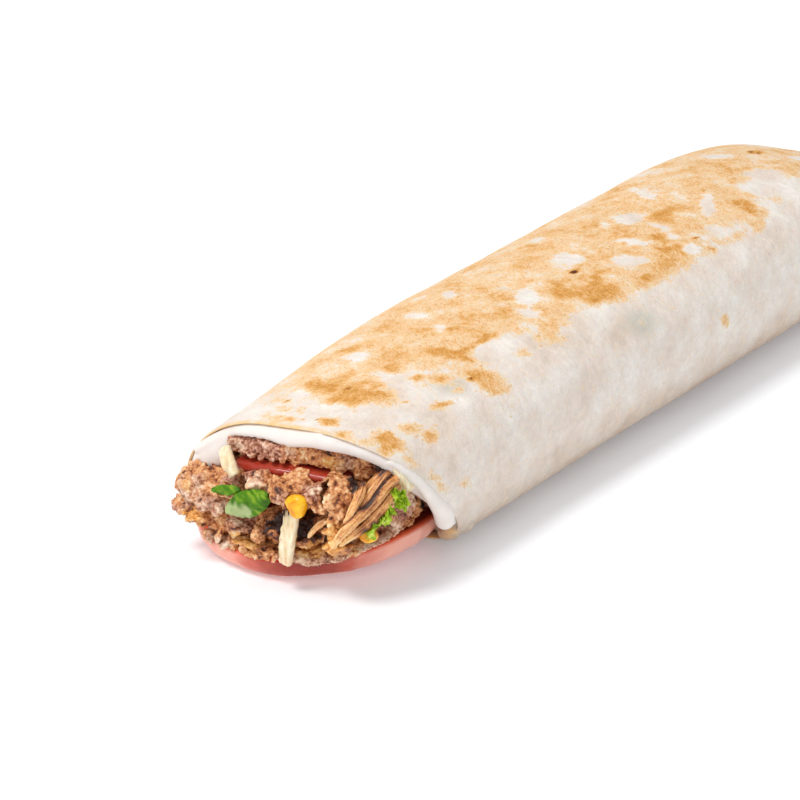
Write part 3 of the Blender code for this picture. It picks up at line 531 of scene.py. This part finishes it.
roast = {
    "grain": {"lump": 0.6, "lumpSize": 2.8, "grain": 0.28, "grainSize": 0.72},
    "shrink": 0.6,  # the skin is taken in this far before the crumbs go on
    # larger bits: x, y, z, size, on the edges of the top and bottom slices and the front of the heap
    "hem": [
        (-13.4, -124.6, 30.4, 1), (-10.6, -125.2, 30.7, 0.9), (-7.6, -125.5, 31, 0.8),
        (-4.6, -125.5, 31.3, 0.8), (-1.6, -125.3, 31.6, 0.8), (1.4, -125, 31.8, 0.8),
        (4.6, -124.6, 32.1, 0.8), (-14.2, -124.2, 31.6, 1.3),
    ],
    "fringe": [
        (-8.4, -127.9, 6.6, 1.3), (-5.6, -128.1, 6.7, 1.2), (-2.4, -128.2, 7, 1.3),
        (0.6, -127.8, 7.8, 0.8), (-11.2, -128.4, 6.2, 1.1), (-14.8, -128.9, 6.2, 1.2),
        (-18.4, -128.3, 6.6, 1.2),
    ],
    "chunks": [
        (-10, -126.6, 26, 1.2), (-6, -127, 26.6, 1.2), (-2.6, -127.4, 27.8, 1.3),
        (8.6, -126.2, 28.6, 1.2), (-1.2, -128.4, 27.6, 1.8), (2.4, -129, 28.2, 1.9),
        (5.4, -130.6, 27.2, 1.7), (6.4, -132, 25.8, 1.1), (3.4, -130.8, 26.2, 1.2),
        (-23.6, -130, 20.4, 2.2), (-20.2, -129.2, 21.6, 2), (12.2, -128.2, 27.2, 2),
        (-19.2, -130.6, 16.4, 2), (-15, -129.2, 16, 1.6), (-3, -128.6, 13, 2.2), (1.2, -128.8, 15.6, 1.6),
        (-10.4, -129.6, 12.4, 1.4), (-14.6, -129.2, 9, 1.5), (-18.6, -128.8, 8, 1.3),
    ],
    # painted patches: x, y, z, reach
    "gold": [  # fat and glaze that shine orange
        (-22.8, -129.6, 20.4, 2.2), (-20.7, -132.5, 12.9, 2.8), (-24.5, -131, 12.5, 2),
        (16.5, -127, 27, 1.6), (18, -127, 20, 2.6), (17.6, -127, 17.5, 3), (19.5, -127.6, 16, 3),
        (20.5, -126.2, 17.8, 2.6), (9.6, -123.4, 10.8, 2.5), (15.4, -127.4, 13.6, 2.4),
        (14.6, -120.6, 33, 1.6), (6.6, -124.8, 9.8, 1.9), (13.4, -122.4, 11.2, 2.5),
        (-5.8, -128, 9.4, 2.4), (-9.6, -128.8, 9.8, 2), (12, -121, 32.6, 2.2), (-8.5, -125, 29.6, 1.6),
        (-3.4, -125, 29.8, 1.6),
    ],
    "paintedShade": [  # painted shade in the cracks, gaps and hollows of the meat
        (20.4, -121.6, 31.5, 2.2), (8, -124.4, 15.8, 3), (7.6, -122.4, 18.4, 3.6), (7.3, -131.3, 22, 1.6),
        (-4.6, -127, 12.6, 2.6), (0.6, -128.6, 14.6, 2.6), (22.3, -115.2, 33.6, 2.2),
        (24.1, -120.6, 16.6, 2.2), (-8, -128, 24.6, 1.4), (-13, -129, 19.8, 1.6), (3, -128, 18, 2.8),
        (20.4, -118.4, 13.6, 2.4), (4, -134.6, 29.6, 3.4), (23.9, -123, 19.7, 1.6),
        (24.8, -121, 21.1, 1.6), (25.4, -119.6, 22.6, 1.4), (9.8, -123.4, 14.2, 2.2),
        (14.2, -126.4, 16, 1.4), (12.6, -125.6, 15.4, 1.6), (-15.6, -129, 25.6, 1.6),
    ],
    "pale": [  # cream and pink edges
        (7.1, -132.4, 26.5, 2.2), (0.8, -130, 25.4, 1.6), (15.6, -119.8, 33.4, 2.4),
        (-20.6, -130.3, 21.8, 2.4), (-24.4, -130, 20.5, 1.8), (-21.8, -130.8, 20.4, 1.8),
        (13.2, -120.8, 32.6, 1.8), (-10.4, -128.5, 13.6, 2.8), (-18.3, -131.3, 17.1, 2.6),
        (-23.7, -131.8, 16.6, 2.8), (-14.2, -129.4, 16.9, 2), (-2.6, -130.5, 27.9, 2.2),
        (12.6, -127.4, 29, 2.2), (-21.6, -131.2, 19.4, 1.6), (-11.4, -125.2, 31.5, 2),
        (2.7, -124, 33.6, 1.6), (-18, -128.7, 7, 2.6), (-13.6, -129.7, 6.9, 2.6),
        (-20.6, -126.8, 8.4, 2.2), (9, -124.6, 7, 2.8), (14.6, -121, 8, 2.6), (19, -114.6, 10.4, 2.6),
        (21.6, -109, 13, 2.8), (23, -104, 20, 2.8), (5, -126.6, 6.8, 2.2), (11.8, -123.2, 7.6, 2.2),
        (2.4, -127.2, 7, 1.8),
    ],
    "rose": [  # pinker lean meat
        (-10.4, -125.1, 33.5, 4.6), (-3.5, -125, 33, 4.4), (-23.8, -131.7, 16.6, 2.6),
        (-16, -131, 17, 2.4), (12.6, -127.4, 29.1, 3), (-28.7, -131.1, 12, 2), (-9.5, -126.7, 14, 3.6),
        (22.8, -106, 18, 3.4), (20.7, -110, 12.9, 3.4), (6.4, -125.6, 6.6, 2.6), (14.2, -121.4, 7.4, 2.6),
        (-6, -128, 27, 2.6), (10, -124, 7, 3), (-12.4, -128, 23, 2.4),
    ],
}


def roughen(piece, lump, lumpSize, grain, grainSize, seed):
    # pushes the skin in and out in lumps and in grains like chopped meat, and paints it: painted shade
    # where it sinks, painted highlights where it rises, and the marked patches
    points, normals = placesOf(piece)
    push, reliefShade = np.zeros(len(points)), np.zeros(len(points))
    for i, p in enumerate(points):
        p = Vector(p)
        big = noise.fractal(p / lumpSize + Vector((seed, 0, 0)), 1.0, 2.0, 3)
        cell = noise.voronoi(p / grainSize + Vector((0.3 * big, 0, seed)))[0]
        fine = 0.75 - 1.5 * cell[0] + 0.5 * noise.noise(p / 0.6)
        push[i] = lump * big + grain * fine
        reliefShade[i] = 0.5 + 0.35 * big + 0.4 * fine
    setPlaces(piece, points + normals * push[:, None])
    storeValues(piece, "reliefShade", np.clip(reliefShade, 0, 1.2))
    for name in ("gold", "paintedShade", "pale", "rose"):
        value = np.zeros(len(points))
        for x, y, z, reach in roast[name]:
            gone = np.linalg.norm(points - (x, y, z), axis=1) / reach
            value = np.maximum(value, np.clip(1.5 - gone, 0, 1))
        storeValues(piece, name, value)


def addLumps(bm, lumps, seed, fine=2):
    # uneven crumbs sunk into a piece, to be joined by the even mesh
    random.seed(seed)
    for x, y, z, size in lumps:
        angle = random.uniform(0, math.pi)
        turn = Matrix.Rotation(angle, 3, Vector([random.uniform(-1, 1) for k in range(3)]))
        long, flat = random.uniform(1.0, 1.9), random.uniform(0.5, 0.9)
        shift = Vector([random.uniform(0, 50) for k in range(3)])
        for vert in bmesh.ops.create_icosphere(bm, subdivisions=fine, radius=1)["verts"]:
            push = size * (1 + 0.4 * noise.noise(vert.co * 1.4 + shift))
            shaped = Vector((vert.co.x * long, vert.co.y, vert.co.z * flat))
            vert.co = turn @ shaped * push + Vector((x, y, z))


def lumpsOver(bm, count, sizes, seed, wanted):
    # places for crumbs on the faces that look out of the mouth
    random.seed(seed)
    faces = [f for f in bm.faces
             if wanted(f.calc_center_median()) and (f.normal.y < 0.2 or f.normal.z > 0.3)]
    placed = []
    for face in random.choices(faces, [f.calc_area() for f in faces], k=count):
        corners = [v.co for v in face.verts]
        a, b = sorted((random.random(), random.random()))
        spot = corners[0] * a + corners[1] * (b - a) + corners[2] * (1 - b)
        size = random.uniform(*sizes)
        placed.append((*(spot - face.normal * size * 0.3), size))
    return placed


def choppedMeat(name, tones, crease, fibres=False):
    # roast meat: moist, grainy, brown, with painted highlights on the raised grains and painted shade in
    # the cracks
    material, shader, add, place = startMaterial(
        name, Specular_IOR_Level=0.55, Subsurface_Weight=0.06, Subsurface_Scale=0.001)
    marks = {key: add("Attribute", attribute_name=key).outputs["Fac"]
             for key in ("reliefShade", "gold", "paintedShade", "pale", "rose")}
    # grains about 0.5 mm, flecks 1.2 mm, patches 5 mm
    grain, fleck, patch = [
        add("TexNoise", {"Vector": place, "Scale": scale, "Detail": detail, "Roughness": rough})
        for scale, detail, rough in ((1900, 3, 0.75), (800, 4, 0.65), (190, 3, 0.5))]
    level = marks["reliefShade"]
    for pattern, share in zip((grain, fleck, patch), (0.4, 0.6, 0.6) if fibres else (1.0, 1.2, 0.8)):
        centred = add("Math", {0: pattern, 1: share, 2: -share / 2}, operation="MULTIPLY_ADD")
        level = add("Math", {0: level, 1: centred}, operation="ADD")
    # painted shade: the marked cracks and hollows are darkened
    level = add("Math", {0: marks["paintedShade"], 1: -0.75, 2: level}, operation="MULTIPLY_ADD")
    # the crease colour at the lowest level is painted shade, and the palest tones at the top are painted
    # highlights
    skin = add("ValToRGB", {"Fac": level}, [(0.0, crease), *zip((0.24, 0.46, 0.72, 1.0), tones)])
    # each painted mark: where it starts and is full, and its own tones from crease to grain
    layers = [("rose", 0.1, 0.34, [(0.0, "#35140d"), (0.24, "#8e4d34"), (0.48, "#bd8064"),
                                   (0.76, "#e4b397"), (1.0, "#fbdec6")]),
              ("pale", 0.15, 0.5, [(0.0, "#6b3420"), (0.34, "#cf9470"), (0.78, "#fbe0c4")]),
              ("gold", 0.15, 0.45, [(0.0, "#8a4614"), (0.28, "#dc9144"), (0.56, "#f8b962"),
                                    (0.92, "#ffe9b4")])]
    for key, low, high, stops in layers:
        colour = add("ValToRGB", {"Fac": level}, stops)
        amount = add("Math", {0: marks[key], 1: fleck}, operation="MULTIPLY")
        amount = add("MapRange", {"Value": amount, "From Min": low, "From Max": high})
        skin = add("MixRGB", {"Fac": amount, "Color1": skin, "Color2": colour})
    wet = add("MapRange", {"Value": fleck, "From Min": 0.35, "From Max": 0.65,
                           "To Min": 0.18, "To Max": 0.55})
    both = add("Math", {0: grain, 1: fleck}, operation="ADD")
    bump = add("Bump", {"Height": both, "Strength": 0.35 if fibres else 0.8, "Distance": 0.0004})
    setInputs(shader, {"Base Color": skin, "Roughness": wet, "Normal": bump})
    return material


# the last colour given to each is the painted shade in the cracks
slicedMeat = choppedMeat("roastSlicedMeat", ["#9d5427", "#d18851", "#f2b57a", "#ffe3bc"], "#34150a")
pulledMeat = choppedMeat("pulledMeat", ["#9a5629", "#cc8547", "#f2b370", "#ffdba4"], "#3c1c0d",
                         fibres=True)


def withDeepPart(piece, nodeName, y):
    # adds the plain part of the node that lies behind y
    bm = cadMesh(nodeName)
    cutAcross(bm, y - 0.3, False)
    addTo(piece, bm)


def makeMeat(name, nodeName, voxel, seed, lumps, crumbs, keepTo=None):
    # the shown part of a node, crumbed and roughened, with its plain deep part behind
    bm = cadMesh(nodeName)
    if keepTo is not None:
        cutAcross(bm, keepTo, True)
    takeIn(bm, roast["shrink"])
    bm.normal_update()
    for count, sizes, wanted in crumbs:
        addLumps(bm, lumpsOver(bm, count, sizes, seed, wanted), seed)
        seed += 1
    addLumps(bm, lumps, seed, fine=3)
    piece = makeObject(name, bm)
    evenMesh(piece, voxel)
    roughen(piece, **roast["grain"], seed=seed * 1.7)
    if keepTo is not None:
        withDeepPart(piece, nodeName, keepTo)
    finishPiece(piece, slicedMeat, nodeName)


def heapFront(p):
    return p.y < -112 and not (p.z > 25 and p.x < 19 and p.y > -126)


# crumbs: how many, their sizes, and where on the piece they lie
makeMeat("choppedHeap", "meat_heap", voxel=0.31, seed=4, lumps=roast["chunks"], keepTo=-100, crumbs=[
    (46, (1.0, 1.8), heapFront),
    (230, (0.4, 0.85), heapFront)])
makeMeat("topSlice", "meat_slice_top", voxel=0.26, seed=11, lumps=roast["hem"], keepTo=-104, crumbs=[
    (60, (0.5, 1.1), lambda p: p.y < -118 or p.x > 12),
    (14, (1.0, 1.7), lambda p: p.x > 4 and p.z < 33 and p.y < -112)])
makeMeat("bottomSlice", "meat_slice_bottom", voxel=0.32, seed=21, lumps=roast["fringe"], crumbs=[
    (170, (0.4, 0.85), lambda p: 6.4 < p.z < 12 or p.x > 18)])


shreds = {
    "shrink": 0.9,
    "voxel": 0.24,
    "fibre": 0.26,  # height of the fibres, and depth of the grooves between strands
    "groove": 0.2,
    "strands": [  # width, how much painted shade darkens its far end, then x, y, z along each strand
        (4.4, 0.35, [(23.8, -113, 32.4), (23.4, -116.2, 30.2), (23.2, -118.7, 28.4), (23, -121.6, 26.4),
                     (22, -124.4, 23.2)]),
        (2.2, 0.2, [(22.2, -121.2, 31), (22.7, -122.9, 29.6), (22.7, -124.9, 27.4), (21.9, -126.4, 24.2),
                    (20.6, -127.1, 20.8)]),
        (3.4, 0.2, [(26, -113.6, 30.6), (25.4, -115.8, 29.6), (24.7, -118.6, 27.8), (24, -121.8, 25.8),
                    (23, -125, 23.8), (21.4, -127.2, 21), (18.8, -128, 16.8)]),
        (3, 0.15, [(26.2, -113.5, 28.2), (25.7, -116, 26.8), (25.2, -118.6, 24.4), (24, -121.6, 21.8),
                   (22.4, -124.4, 19.6), (20, -127, 17)]),
        (1.6, 0.1, [(15.6, -125.6, 21.4), (14.2, -127, 20.4), (12.8, -128, 18.6), (11.6, -128.4, 16.6)]),
    ],
    # the torn lump beside them: x, y, z, radius
    "lump": [
        (16, -123.4, 30.9, 2), (17.6, -124.4, 30, 2.5), (18.6, -125.2, 28.2, 2.6),
        (18, -125.8, 25.8, 2.3), (17.3, -125.9, 23.6, 1.8), (17.2, -126.2, 21.4, 1.6),
        (17.3, -126.3, 19.4, 1.6), (17.6, -126.2, 17.6, 1.5),
    ],
    "lumpVoxel": 0.26,
}


def alongRoute(route, each=10):
    # a smooth path through the route, with the direction at each place
    p = np.array([route[0], *route, route[-1]])
    t = np.linspace(0, 1, each, endpoint=False)[:, None]
    places = [0.5 * (2 * b + (c - a) * t + (2 * a - 5 * b + 4 * c - d) * t ** 2
                     + (3 * b - a - 3 * c + d) * t ** 3)
              for a, b, c, d in zip(p, p[1:], p[2:], p[3:])]
    places = np.vstack([*places, p[-1:]])
    ahead = np.gradient(places, axis=0)
    return places, ahead / np.linalg.norm(ahead, axis=1)[:, None]


def strandMesh(bm, width, route):
    # a run of overlapping balls, thinner at both ends
    places, _ = alongRoute(route)
    for j, place in enumerate(places):
        end = math.sin(math.pi * (0.14 + 0.76 * j / (len(places) - 1))) ** 0.7
        addBall(bm, place, 0.5 * width * end)


def fibreValues(points):
    # how near each point is to a groove between strands, a value along the fibres, and the painted shade
    nearest = np.full(len(points), 9.0)
    second = nearest.copy()
    angle, run, shade = np.zeros((3, len(points)))
    for k, (width, paintedShade, route) in enumerate(shreds["strands"]):
        places, ahead = alongRoute(route)
        gone = np.linalg.norm(points[:, None] - places[None], axis=2)
        closest = gone.argmin(1)
        ratio = gone.min(1) / (0.5 * width)
        front = ratio < nearest
        second = np.where(front, nearest, np.minimum(second, ratio))
        nearest = np.where(front, ratio, nearest)
        direction = ahead[closest]
        away = points - places[closest]
        side = np.cross(direction, (0, -1, 0.2))
        other = np.cross(side, direction)
        turned = np.arctan2((away * side).sum(1), (away * other).sum(1))
        angle = np.where(front, turned * width + 7 * k, angle)
        run = np.where(front, closest * 0.4, run)
        shade = np.where(front, paintedShade * (1 - closest / len(places)), shade)
    groove = np.clip(1 - (second - nearest) / 0.32, 0, 1) * (nearest < 1.5)
    # painted shade in the gaps away from every strand
    shade += 0.3 * np.clip((nearest - 1.15) * 3, 0, 1)
    fibre = np.array([noise.noise((a * 1.5, b * 0.16, 2.0)) + 0.6 * noise.noise((a * 3.4, b * 0.3, 8.0))
                      for a, b in zip(angle, run)])
    return groove, fibre, shade


def makeShreds():
    bm = cadMesh("meat_shreds")
    takeIn(bm, shreds["shrink"])
    for width, _, route in shreds["strands"]:
        strandMesh(bm, width, route)
    piece = makeObject("pulledShreds", bm)
    evenMesh(piece, shreds["voxel"], smooth=1)
    roughen(piece, lump=0.12, lumpSize=2.6, grain=0.0, grainSize=0.7, seed=3.0)
    points, normals = placesOf(piece)
    groove, fibre, shade = fibreValues(points)
    push = shreds["fibre"] * fibre - shreds["groove"] * groove
    setPlaces(piece, points + normals * push[:, None])
    # painted shade in the grooves and towards the far ends, and paler colour on the raised fibres
    storeValues(piece, "reliefShade", np.clip(0.7 + 0.5 * fibre - 0.8 * groove ** 1.3 - shade, 0, 1.2))
    finishPiece(piece, pulledMeat, "meat_shreds")

    bm = bmesh.new()
    addLumps(bm, [(x, y, z, 1.02 * size) for x, y, z, size in shreds["lump"]], seed=7, fine=3)
    addLumps(bm, lumpsOver(bm, count=16, sizes=(0.5, 0.9), seed=6, wanted=lambda p: True), seed=8)
    piece = makeObject("tornLump", bm)
    evenMesh(piece, shreds["lumpVoxel"], smooth=2)
    roughen(piece, lump=0.5, lumpSize=2.6, grain=0.22, grainSize=0.9, seed=5.0)
    finishPiece(piece, slicedMeat, "meat_shreds")


makeShreds()
print("meat")


cream = {
    "keepTo": -84,  # the sauce behind this stays plain
    "voxel": 0.4,
    "soften": 6,
    "swell": 0.4,
    "wave": 0.18,
    # sauce pressed up against the free edge of the bread: radius, how deep under it and how far in
    "lipBead": 1.15,
    "lipDepth": 1.3,
    "lipInset": 0.8,
    # x, y, z, radius of the bead that runs down the right-hand edge into a drop
    "bead": [
        (25.2, -115, 34.8, 0.4), (26.6, -113.4, 33.5, 0.5), (27.8, -111.3, 31.2, 0.6),
        (28.7, -108.8, 28.4, 0.8), (28.9, -106.4, 25.4, 1.1), (28.8, -104, 22.5, 1.4),
        (28.6, -101.7, 19.9, 1.7), (28.4, -99.6, 17.6, 2), (28.2, -98.4, 15.4, 2.1),
        (28, -97.8, 13.1, 2.1),
    ],
}


def garlicSauce():
    # thick white yoghurt and garlic sauce: smooth, soft, slightly glossy, clouds about 6 mm
    material, shader, add, place = startMaterial(
        "garlicSauce", Roughness=0.32, Specular_IOR_Level=0.45, Subsurface_Weight=0.25,
        Subsurface_Scale=0.0025, Subsurface_Radius=(1.0, 0.8, 0.7))
    cloud = add("TexNoise", {"Vector": place, "Scale": 160, "Detail": 2})
    tone = add("ValToRGB", {"Fac": cloud}, [(0.3, "#e7ddd5"), (0.7, "#efe7e1")])
    bump = add("Bump", {"Height": cloud, "Strength": 0.2, "Distance": 0.0006})
    setInputs(shader, {"Base Color": tone, "Normal": bump})
    return material


def lipPlaces():
    # a smooth path just inside the free edge of the bread, from the left over the top
    lip = cadMesh("tortilla")
    middle = Vector((0, 0, bread["height"] / 2))
    edges = []
    for turn in range(170, 50, -6):
        aim = Vector((math.cos(math.radians(turn)), 0, math.sin(math.radians(turn))))
        near = [v.co for v in lip.verts if v.co.y < -60
                and aim.angle(Vector((v.co.x, 0, v.co.z)) - middle) < 0.12]
        if near:
            edge = min(near, key=lambda p: p.y)
            out = Vector((edge.x, 0, edge.z)) - middle
            place = middle + out * (1 - cream["lipDepth"] / out.length)
            place += Vector((0, edge.y + cream["lipInset"], 0))
            if not edges or (place - edges[-1]).length > 1.0:
                edges.append(place)
    lip.free()
    edges = np.array(edges)
    for k in range(4):
        edges[1:-1] = (edges[:-2] + 2 * edges[1:-1] + edges[2:]) / 4
    return alongRoute(edges, each=6)[0]


def makeSauce():
    bm = cadMesh("sauce")
    cutAcross(bm, cream["keepTo"], True)
    places = lipPlaces()
    for k, place in enumerate(places):
        addBall(bm, place, cream["lipBead"] * min(1, 0.4 + 6 * (1 - k / len(places))))
    for start, end in zip(cream["bead"], cream["bead"][1:]):
        for step in range(4):
            x, y, z, radius = Vector(start).lerp(Vector(end), step / 4)
            addBall(bm, (x, y, z), radius, fine=3)
    piece = makeObject("whiteSauce", bm)
    evenMesh(piece, cream["voxel"], cream["soften"])
    swell(piece, cream["swell"], cream["wave"], size=5)
    withDeepPart(piece, "sauce", cream["keepTo"])
    finishPiece(piece, garlicSauce(), "sauce")


makeSauce()
print("sauce")


tomato = {
    "centre": (-8.3, -97.3),
    # node, piece, voxel
    "slices": [("tomato_lower", "lowerTomato", 0.5), ("tomato_upper", "upperTomato", 0.35)],
    "swell": 0.1,
    "wave": 0.14,
    # degrees round the lower slice, and how pale its side is painted: painted light where it faces the
    # light, painted shade where it is shaded
    "paintedLight": [
        (200, 0.9), (245, 0.95), (262, 0.75), (280, 0.2), (296, -0.1), (312, 0.05), (326, 0.6), (345, 1),
    ],
    "underTint": 1.2,
    "upperSide": 0.85,  # how much of the upper slice shows its skin side, and how pale that is
    "upperTint": -0.04,
}


def tomatoFlesh():
    # ripe tomato: wet, translucent, deep red inside, with painted light and shade on the skin side,
    # salmon where it catches the light
    material, shader, add, place = startMaterial(
        "tomatoFlesh", Roughness=0.24, Specular_IOR_Level=0.45, Subsurface_Weight=0.2,
        Subsurface_Scale=0.002, Subsurface_Radius=(1.0, 0.35, 0.2))
    side, paintedLight = [add("Attribute", attribute_name=key).outputs["Fac"] for key in ("side", "paintedLight")]
    # veins about 4 mm
    vein = add("TexNoise", {"Vector": place, "Scale": 260, "Detail": 4, "Distortion": 0.4})
    streak = add("MapRange", {"Value": vein, "To Min": -0.22, "To Max": 0.22})
    tinted = add("Math", {0: paintedLight, 1: streak}, operation="ADD")
    skin = add("ValToRGB", {"Fac": tinted}, [
        (0.0, "#9c3626"), (0.35, "#cb6350"), (0.7, "#ee9f8c"), (1.0, "#ffb8a3")])
    flesh = add("ValToRGB", {"Fac": vein}, [(0.3, "#d3260f"), (0.55, "#ee4626"), (0.8, "#ff8a62")])
    # painted light: the flesh is painted brighter where the side is painted pale
    fresh = add("Math", {0: paintedLight, 1: 0.85}, operation="MULTIPLY", use_clamp=True)
    flesh = add("MixRGB", {"Fac": fresh, "Color1": flesh, "Color2": "#ff7a50"})
    tone = add("MixRGB", {"Fac": side, "Color1": flesh, "Color2": skin})
    bump = add("Bump", {"Height": vein, "Strength": 0.25, "Distance": 0.0005})
    setInputs(shader, {"Base Color": tone, "Normal": bump})
    return material


def makeTomatoes():
    material = tomatoFlesh()
    for nodeName, name, voxel in tomato["slices"]:
        piece = makeObject(name, cadMesh(nodeName))
        evenMesh(piece, voxel, smooth=4)
        points, normals = swell(piece, tomato["swell"], tomato["wave"], size=4)
        side = np.full(len(points), tomato["upperSide"])
        paintedLight = np.full(len(points), tomato["upperTint"])
        if nodeName == "tomato_lower":
            out = points[:, :2] - tomato["centre"]
            bearing = np.degrees(np.arctan2(out[:, 1], out[:, 0])) % 360
            side = np.clip(1.5 - 1.9 * normals[:, 2], 0, 1)
            paintedLight = np.interp(bearing, *zip(*tomato["paintedLight"]))
            # the underside is paler, so less red light bounces onto the board
            paintedLight[normals[:, 2] < -0.75] = tomato["underTint"]
        storeValues(piece, "side", side)
        storeValues(piece, "paintedLight", paintedLight)
        finishPiece(piece, material, nodeName)


makeTomatoes()
print("tomato")


def rawOnion():
    # raw onion: cream, translucent, faint ribs about 1 mm apart along the strip
    material, shader, add, place = startMaterial(
        "rawOnion", Roughness=0.28, Subsurface_Weight=0.3, Subsurface_Scale=0.0015)
    drawn = add("Mapping", {"Vector": place, "Scale": (1.0, 1.0, 0.18)})
    ribs = add("TexNoise", {"Vector": drawn, "Scale": 1100, "Detail": 3})
    tone = add("ValToRGB", {"Fac": ribs}, [(0.32, "#d4b987"), (0.5, "#ecd6ae"), (0.72, "#f6e8ce")])
    bump = add("Bump", {"Height": ribs, "Strength": 0.4, "Distance": 0.0003})
    setInputs(shader, {"Base Color": tone, "Normal": bump})
    return material


def sweetCorn():
    # cooked sweet corn: glossy yellow skin, more orange in clouds of about 2 mm
    material, shader, add, place = startMaterial(
        "sweetCorn", Roughness=0.25, Subsurface_Weight=0.2, Subsurface_Scale=0.0015)
    cloud = add("TexNoise", {"Vector": place, "Scale": 420, "Detail": 3})
    tone = add("ValToRGB", {"Fac": cloud}, [(0.3, "#d87e00"), (0.5, "#f4ac04"), (0.72, "#fcc81a")])
    setInputs(shader, {"Base Color": tone})
    return material


def greenLeaf(name, deep, fresh, pale, lie):
    # salad leaf: waxy, with 1 mm streaks along its length, paler grey-green in a given patch
    material, shader, add, place = startMaterial(
        name, Roughness=0.48, Specular_IOR_Level=0.2, Subsurface_Weight=0.06, Subsurface_Scale=0.001)
    turned = add("Mapping", {"Vector": place, "Rotation": (0, math.radians(lie), 0)})
    drawn = add("Mapping", {"Vector": turned, "Scale": (0.22, 1, 1)})
    streak = add("TexNoise", {"Vector": drawn, "Scale": 900, "Detail": 3})
    cloud = add("TexNoise", {"Vector": place, "Scale": 420, "Detail": 3})
    mixed = add("Math", {0: streak, 1: cloud}, operation="MULTIPLY")
    tone = add("ValToRGB", {"Fac": mixed}, [(0.08, deep), (0.27, fresh), (0.5, pale)])
    paleShare = add("Attribute", attribute_name="pale").outputs["Fac"]
    tone = add("MixRGB", {"Fac": paleShare, "Color1": tone, "Color2": "#b0bc84"})
    bump = add("Bump", {"Height": streak, "Strength": 0.5, "Distance": 0.0003})
    setInputs(shader, {"Base Color": tone, "Normal": bump})
    return material


trim = {
    "voxel": 0.2,
    # node, piece, finish and slot, smoothing, swell, waviness and its size
    "pieces": [
        ("onion_left", "onionLeft", "onion", 1, 0.1, 0.25, 1.6),
        ("onion_centre", "onionStrip", "onion", 1, 0.1, 0.25, 1.6),
        ("onion_right", "onionRight", "onion", 1, 0.1, 0.25, 1.6),
        ("corn_centre", "cornCentre", "corn", 8, -0.35, 0.25, 2.2),
        ("corn_right", "cornRight", "corn", 8, 0.1, 0.25, 2.2),
        ("leaf_large", "leafLarge", "leaf", 2, 0.06, 0.16, 1.2),
        ("leaf_small", "leafSmall", "leaf", 2, 0.06, 0.12, 1.2),
        ("parsley", "parsleySprig", "parsley", 2, 0.0, 0.3, 0.7),
    ],
    # x, y, z, reach of the pale grey-green patch on the large leaf
    "palePatch": [(-8.6, -132.4, 18.8, 1.7), (-6.2, -132.5, 19.2, 1.7), (-3.8, -132.5, 20.0, 1.3)],
    "thin": 0.35,  # the sprig is taken in this far before its frills go on
    # x, y, z, spread of the frilled clusters of parsley, and how many frills
    "frills": [
        (28.2, -114.6, 26.4, 2.4, 90), (27.2, -116.6, 23.8, 1.2, 24), (25.9, -118.8, 21.9, 1.3, 34),
        (25.1, -120.6, 21.3, 0.7, 10),
    ],
    "frillLength": (1.0, 1.9),
    "frillWidth": (0.35, 0.62),
}


def addFrills(piece):
    # flat pointed teeth of leaf round each cluster
    bm = bmesh.new()
    random.seed(8)
    for x, y, z, spread, count in trim["frills"]:
        for k in range(count):
            turn, out = random.uniform(0, fullTurn), spread * random.uniform(0.15, 0.85)
            length, width = random.uniform(*trim["frillLength"]), random.uniform(*trim["frillWidth"])
            place = Vector((x + 0.75 * out * math.cos(turn), y - random.uniform(0.1, 1.2),
                            z + out * math.sin(turn)))
            tip = Matrix.Rotation(random.uniform(-0.2, 0.9), 4, "X") @ Matrix.Diagonal((1, 0.3, 1, 1))
            bmesh.ops.create_cone(
                bm, cap_ends=True, segments=6, radius1=width, radius2=0.06, depth=length,
                matrix=Matrix.Translation(place) @ Matrix.Rotation(math.pi / 2 - turn, 4, "Y") @ tip)
    addTo(piece, bm)


def makeTrim():
    materials = {"onion": rawOnion(), "corn": sweetCorn(),
                 "leaf": greenLeaf("saladLeaf", "#285204", "#4a7c02", "#9cb630", -32),
                 "parsley": greenLeaf("parsleyLeaf", "#446c04", "#a6c624", "#f2f68c", 50)}
    for nodeName, name, finish, smooth, out, wave, size in trim["pieces"]:
        bm = cadMesh(nodeName)
        if finish == "parsley":
            takeIn(bm, trim["thin"])
        piece = makeObject(name, bm)
        evenMesh(piece, trim["voxel"], smooth)
        if finish == "parsley":
            addFrills(piece)
        points, _ = swell(piece, out, wave, size)
        gone = np.min([np.linalg.norm(points - p[:3], axis=1) / p[3] for p in trim["palePatch"]], 0)
        gone += [0.5 * noise.noise(Vector(p) * 0.9) for p in points]
        storeValues(piece, "pale", np.clip(1.9 - 1.2 * gone, 0, 0.85))
        finishPiece(piece, materials[finish], nodeName)


makeTrim()
print("onion, corn and leaves")
